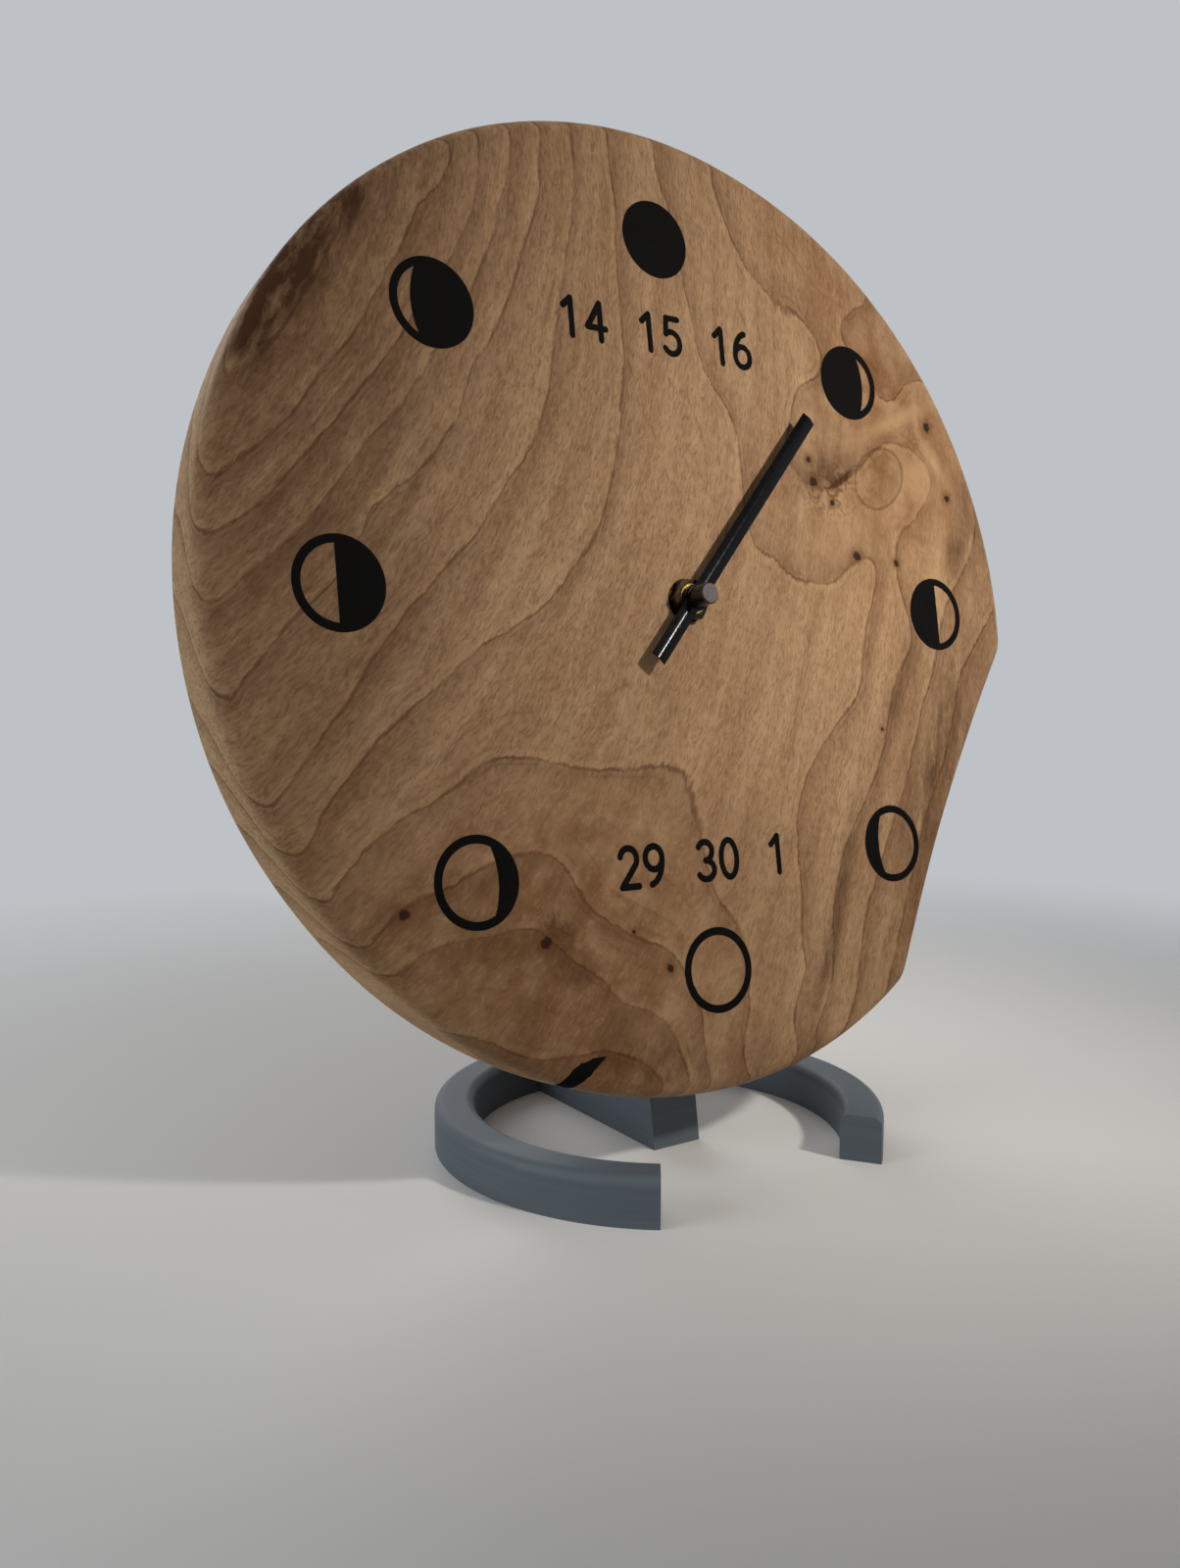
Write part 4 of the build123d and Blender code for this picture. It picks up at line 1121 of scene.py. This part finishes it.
def printed_plastic():
    """Plastic laid down in thin level layers: fine ridges as a sine of the height, painted shade in their
    grooves, a slow drift of tone and a matte skin."""
    finish, tree, shader = new_finish("printed_plastic", Specular_IOR_Level=STAND_GLOSS)
    place = object_place(tree)
    waver = times(tree, cloud(tree, place, *WAVER_NOISE), LAYER_WAVER)
    level = calc(tree, "ADD", axes_of(tree, place)["Z"], waver)
    ridge = calc(tree, "SINE", times(tree, level, 2 * math.pi / LAYER_HEIGHT))
    bands = cloud(tree, place, *BAND_NOISE)
    skin = cloud(tree, place, *SKIN_NOISE)
    colour = blend_colours(tree, fade(tree, bands, *GLOSS_SPAN), *STAND_TONES)
    # painted shade: the grooves between layers are darker
    colour = blend_colours(tree, fade(tree, ridge, *GROOVE_SHADE_STEP), colour, STAND_GROOVE_SHADE)
    height = calc(tree, "ADD", times(tree, ridge, RIDGE_SHARE), times(tree, skin, SKIN_SHARE))
    surface(tree, shader, colour, fade(tree, bands, *GLOSS_SPAN, *STAND_ROUGHNESS), height, *STAND_RELIEF)
    return finish


def turned_metal(name, tone, second, roughness, metallic=1.0, reflection_above=None):
    """Turned metal: two near tones in dull patches and fine lathe lines round the shaft, with the end above a
    level over the face painted a lighter grey as a reflection, where one is given."""
    finish, tree, shader = new_finish(name, Metallic=metallic)
    place = object_place(tree, FACE_TURN)
    lathe = cloud(tree, place, *LATHE_NOISE)
    dull = cloud(tree, place, *DULL_NOISE)
    colour = blend_colours(tree, fade(tree, dull, *DULL_SPAN), linear(*tone), linear(*second))
    # painted reflection: the cap's end is a lighter grey
    if reflection_above:
        level = FACE_LEVEL + reflection_above
        end_reflection = fade(tree, axes_of(tree, place)["Z"], level - CAP_EDGE, level)
        colour = blend_colours(tree, end_reflection, colour, CAP_END_REFLECTION)
    surface(tree, shader, colour, fade(tree, dull, *GLOSS_SPAN, *roughness), lathe, *LATHE_RELIEF)
    return finish


def wound_wire():
    """Fine enamelled wire wound side by side: ridges as a sine along the coil, with a little unevenness,
    painted shade between the turns and a painted sheen on their crowns.
    """
    finish, tree, shader = new_finish("wound_wire", Metallic=WIRE_METAL)
    place = object_place(tree)
    uneven = cloud(tree, place, *WIRE_NOISE)
    along = calc(tree, "ADD", axes_of(tree, place)["X"], times(tree, uneven, WIRE_UNEVEN))
    ridge = calc(tree, "SINE", times(tree, along, 2 * math.pi / WIRE_PITCH))
    # painted light: darker between the turns, lighter on their crowns
    colour = blend_colours(tree, fade(tree, ridge, *RIDGE_SPAN), *WIRE_SHADE_AND_SHEEN)
    surface(tree, shader, colour, fade(tree, uneven, *GLOSS_SPAN, *WIRE_ROUGHNESS), ridge, *WIRE_RELIEF)
    return finish


def cell_jacket():
    """A plain battery: a foil jacket with a lighter band, and bare metal at both ends."""
    finish, tree, shader = new_finish("cell_jacket", Metallic=CELL_METAL)
    place = object_place(tree)
    along = axes_of(tree, place)["X"]
    low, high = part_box("battery")
    band_start = high.x / MM - CELL_BAND
    left_end = low.x / MM + CELL_BARE_LEFT
    right_end = high.x / MM - CELL_BARE_RIGHT
    brushed = cloud(tree, place, *CELL_NOISE)
    streaks = fade(tree, brushed, *GLOSS_SPAN)
    jacket = blend_colours(tree, streaks, *CELL_TONES)
    band = fade(tree, along, band_start, band_start + CELL_EDGE)
    jacket = blend_colours(tree, band, jacket, CELL_BAND_TONE)
    at_left = fade(tree, along, left_end, left_end + CELL_EDGE, 1.0, 0.0)
    at_right = fade(tree, along, right_end, right_end + CELL_EDGE)
    bare = blend_colours(tree, streaks, *CELL_BARE_TONES)
    colour = blend_colours(tree, calc(tree, "ADD", at_left, at_right, True), jacket, bare)
    surface(tree, shader, colour, fade(tree, brushed, *GLOSS_SPAN, *CELL_ROUGHNESS), brushed, *CELL_RELIEF)
    return finish


def node_finishes():
    """One finish for each of the record's material slots."""
    finishes = {
        "wood": oiled_wood(),
        "stand_plastic": printed_plastic(),
        "hand_black": hand_lacquer(),
        "coil_copper": wound_wire(),
        "cell_jacket": cell_jacket(),
    }
    finishes.update({slot: mottled(*settings) for slot, settings in MOULDED.items()})
    finishes.update({slot: turned_metal(*settings) for slot, settings in TURNED.items()})
    return finishes


def dress_nodes(finishes):
    """Gives every node of the frame the finish of its own slot, or the blackened one."""
    blackened = turned_metal(*BLACKENED)
    for name, node in frame["nodes"].items():
        for slot in node.material_slots:
            finish = finishes[slot.material.name.split(".")[0]]
            slot.material = blackened if name in BLACKENED_NODES else finish


def place_piece(piece, finish, slot, *nodes):
    """Finishes a new piece, fixes it to the clock's body and hides the nodes that it stands for."""
    piece.data.materials.append(finish)
    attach(piece, "clock")
    if nodes:
        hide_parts(*nodes)


def studio_paper():
    """Pale paper. Away from the object it shows a plain tone to the camera, to mirrors and through glass,
    and that tone lights nothing."""
    finish, tree, shader = new_finish(
        "studio_paper", Roughness=PAPER_ROUGHNESS, Specular_IOR_Level=PAPER_GLOSS
    )
    place = object_place(tree)
    tone = cloud(tree, place, *PAPER_NOISE)
    colour = blend_colours(tree, fade(tree, tone, *GLOSS_SPAN), *PAPER_TONES)
    tree.links.new(colour, shader.inputs["Base Color"])
    axes = axes_of(tree, place)
    squares = [times(tree, axes[axis], axes[axis]) for axis in "XY"]
    away = fade(tree, calc(tree, "SQRT", calc(tree, "ADD", *squares)), *BACKDROP_START)
    ray = add_node(tree, "ShaderNodeLightPath").outputs
    seen = calc(tree, "ADD", ray["Is Camera Ray"], ray["Is Glossy Ray"], True)
    seen = calc(tree, "ADD", seen, ray["Is Transmission Ray"], True)
    glow = add_node(tree, "ShaderNodeEmission", Color=BACKDROP_COLOUR, Strength=1.0)
    either = add_node(tree, "ShaderNodeMixShader")
    tree.links.new(times(tree, seen, away), either.inputs["Fac"])
    tree.links.new(shader.outputs[0], either.inputs[1])
    tree.links.new(glow.outputs[0], either.inputs[2])
    tree.links.new(either.outputs[0], tree.nodes["Material Output"].inputs["Surface"])
    return finish


def studio_bowl():
    """Floor and backdrop in one round sheet: level in the middle, up a quarter circle, then upright."""
    bend = np.linspace(0, np.pi / 2, BOWL_ROWS)
    radius = np.concatenate([[0.0], BOWL_FLOOR + BOWL_BEND * np.sin(bend), [BOWL_FLOOR + BOWL_BEND]])
    height = np.concatenate([[0.0], BOWL_BEND * (1 - np.cos(bend)), [BOWL_HEIGHT]])
    turn = np.linspace(0, 2 * np.pi, BOWL_COLUMNS, endpoint=False)
    flat = [np.outer(radius, np.cos(turn)), np.outer(radius, np.sin(turn))]
    points = np.stack(flat + [np.repeat(height[:, None], BOWL_COLUMNS, 1)], axis=-1)
    floor = mesh_object("studio_floor", *closed_ends(points[:, ::-1], False))
    floor.data.materials.append(studio_paper())


def studio_world():
    """A faint even light from all around."""
    world = bpy.data.worlds.new("studio")
    bpy.context.scene.world = world
    world.use_nodes = True
    background = world.node_tree.nodes["Background"]
    background.inputs["Color"].default_value = WORLD_COLOUR
    background.inputs["Strength"].default_value = WORLD_STRENGTH


def soft_light(name, place, target, size, power, colour, spread_deg):
    """A square soft light aimed at a target, whose beam fades out to the side by half the spread."""
    lamp = bpy.data.lights.new(name, "AREA")
    lamp.shape = "SQUARE"
    lamp.size = size
    lamp.spread = math.radians(spread_deg)
    lamp.energy = power
    lamp.color = colour
    light = bpy.data.objects.new(name, lamp)
    bpy.context.scene.collection.objects.link(light)
    light.location = place
    light.rotation_euler = (Vector(target) - Vector(place)).to_track_quat("-Z", "Y").to_euler()


def photo_camera():
    """The camera at the photograph's place, turned, tilted and rolled as it was."""
    data = bpy.data.cameras.new("camera")
    data.sensor_width = SENSOR
    data.lens = SENSOR * CAMERA_FOCUS_PX / PHOTO_LONG_SIDE_PX
    data.clip_start = CAMERA_NEAREST
    camera = bpy.data.objects.new("camera", data)
    bpy.context.scene.collection.objects.link(camera)
    turn = Matrix.Rotation(math.radians(-CAMERA_TURN), 4, "Z")
    tilt = Matrix.Rotation(math.radians(90 + CAMERA_TILT), 4, "X")
    roll = Matrix.Rotation(math.radians(CAMERA_ROLL), 4, "Z")
    camera.matrix_world = Matrix.Translation(Vector(CAMERA_PLACE) * MM) @ turn @ tilt @ roll
    bpy.context.scene.camera = camera


finishes = node_finishes()
dress_nodes(finishes)
place_piece(dial_wood(), finishes["wood"], "wood", "dial_disc")
place_piece(split_fill(), finishes["black_inlay"], "black_inlay", "split_fill")
for name, (words, middle_v) in NUMERAL_ROWS.items():
    place_piece(numerals(name, words, middle_v), finishes["black_inlay"], "black_inlay")
place_piece(cover_relief(), finishes["case_plastic"], "case_plastic")

studio_bowl()
studio_world()
for name, settings in LAMPS.items():
    soft_light(name, *settings)
photo_camera()
bpy.context.scene.view_settings.view_transform = "Standard"
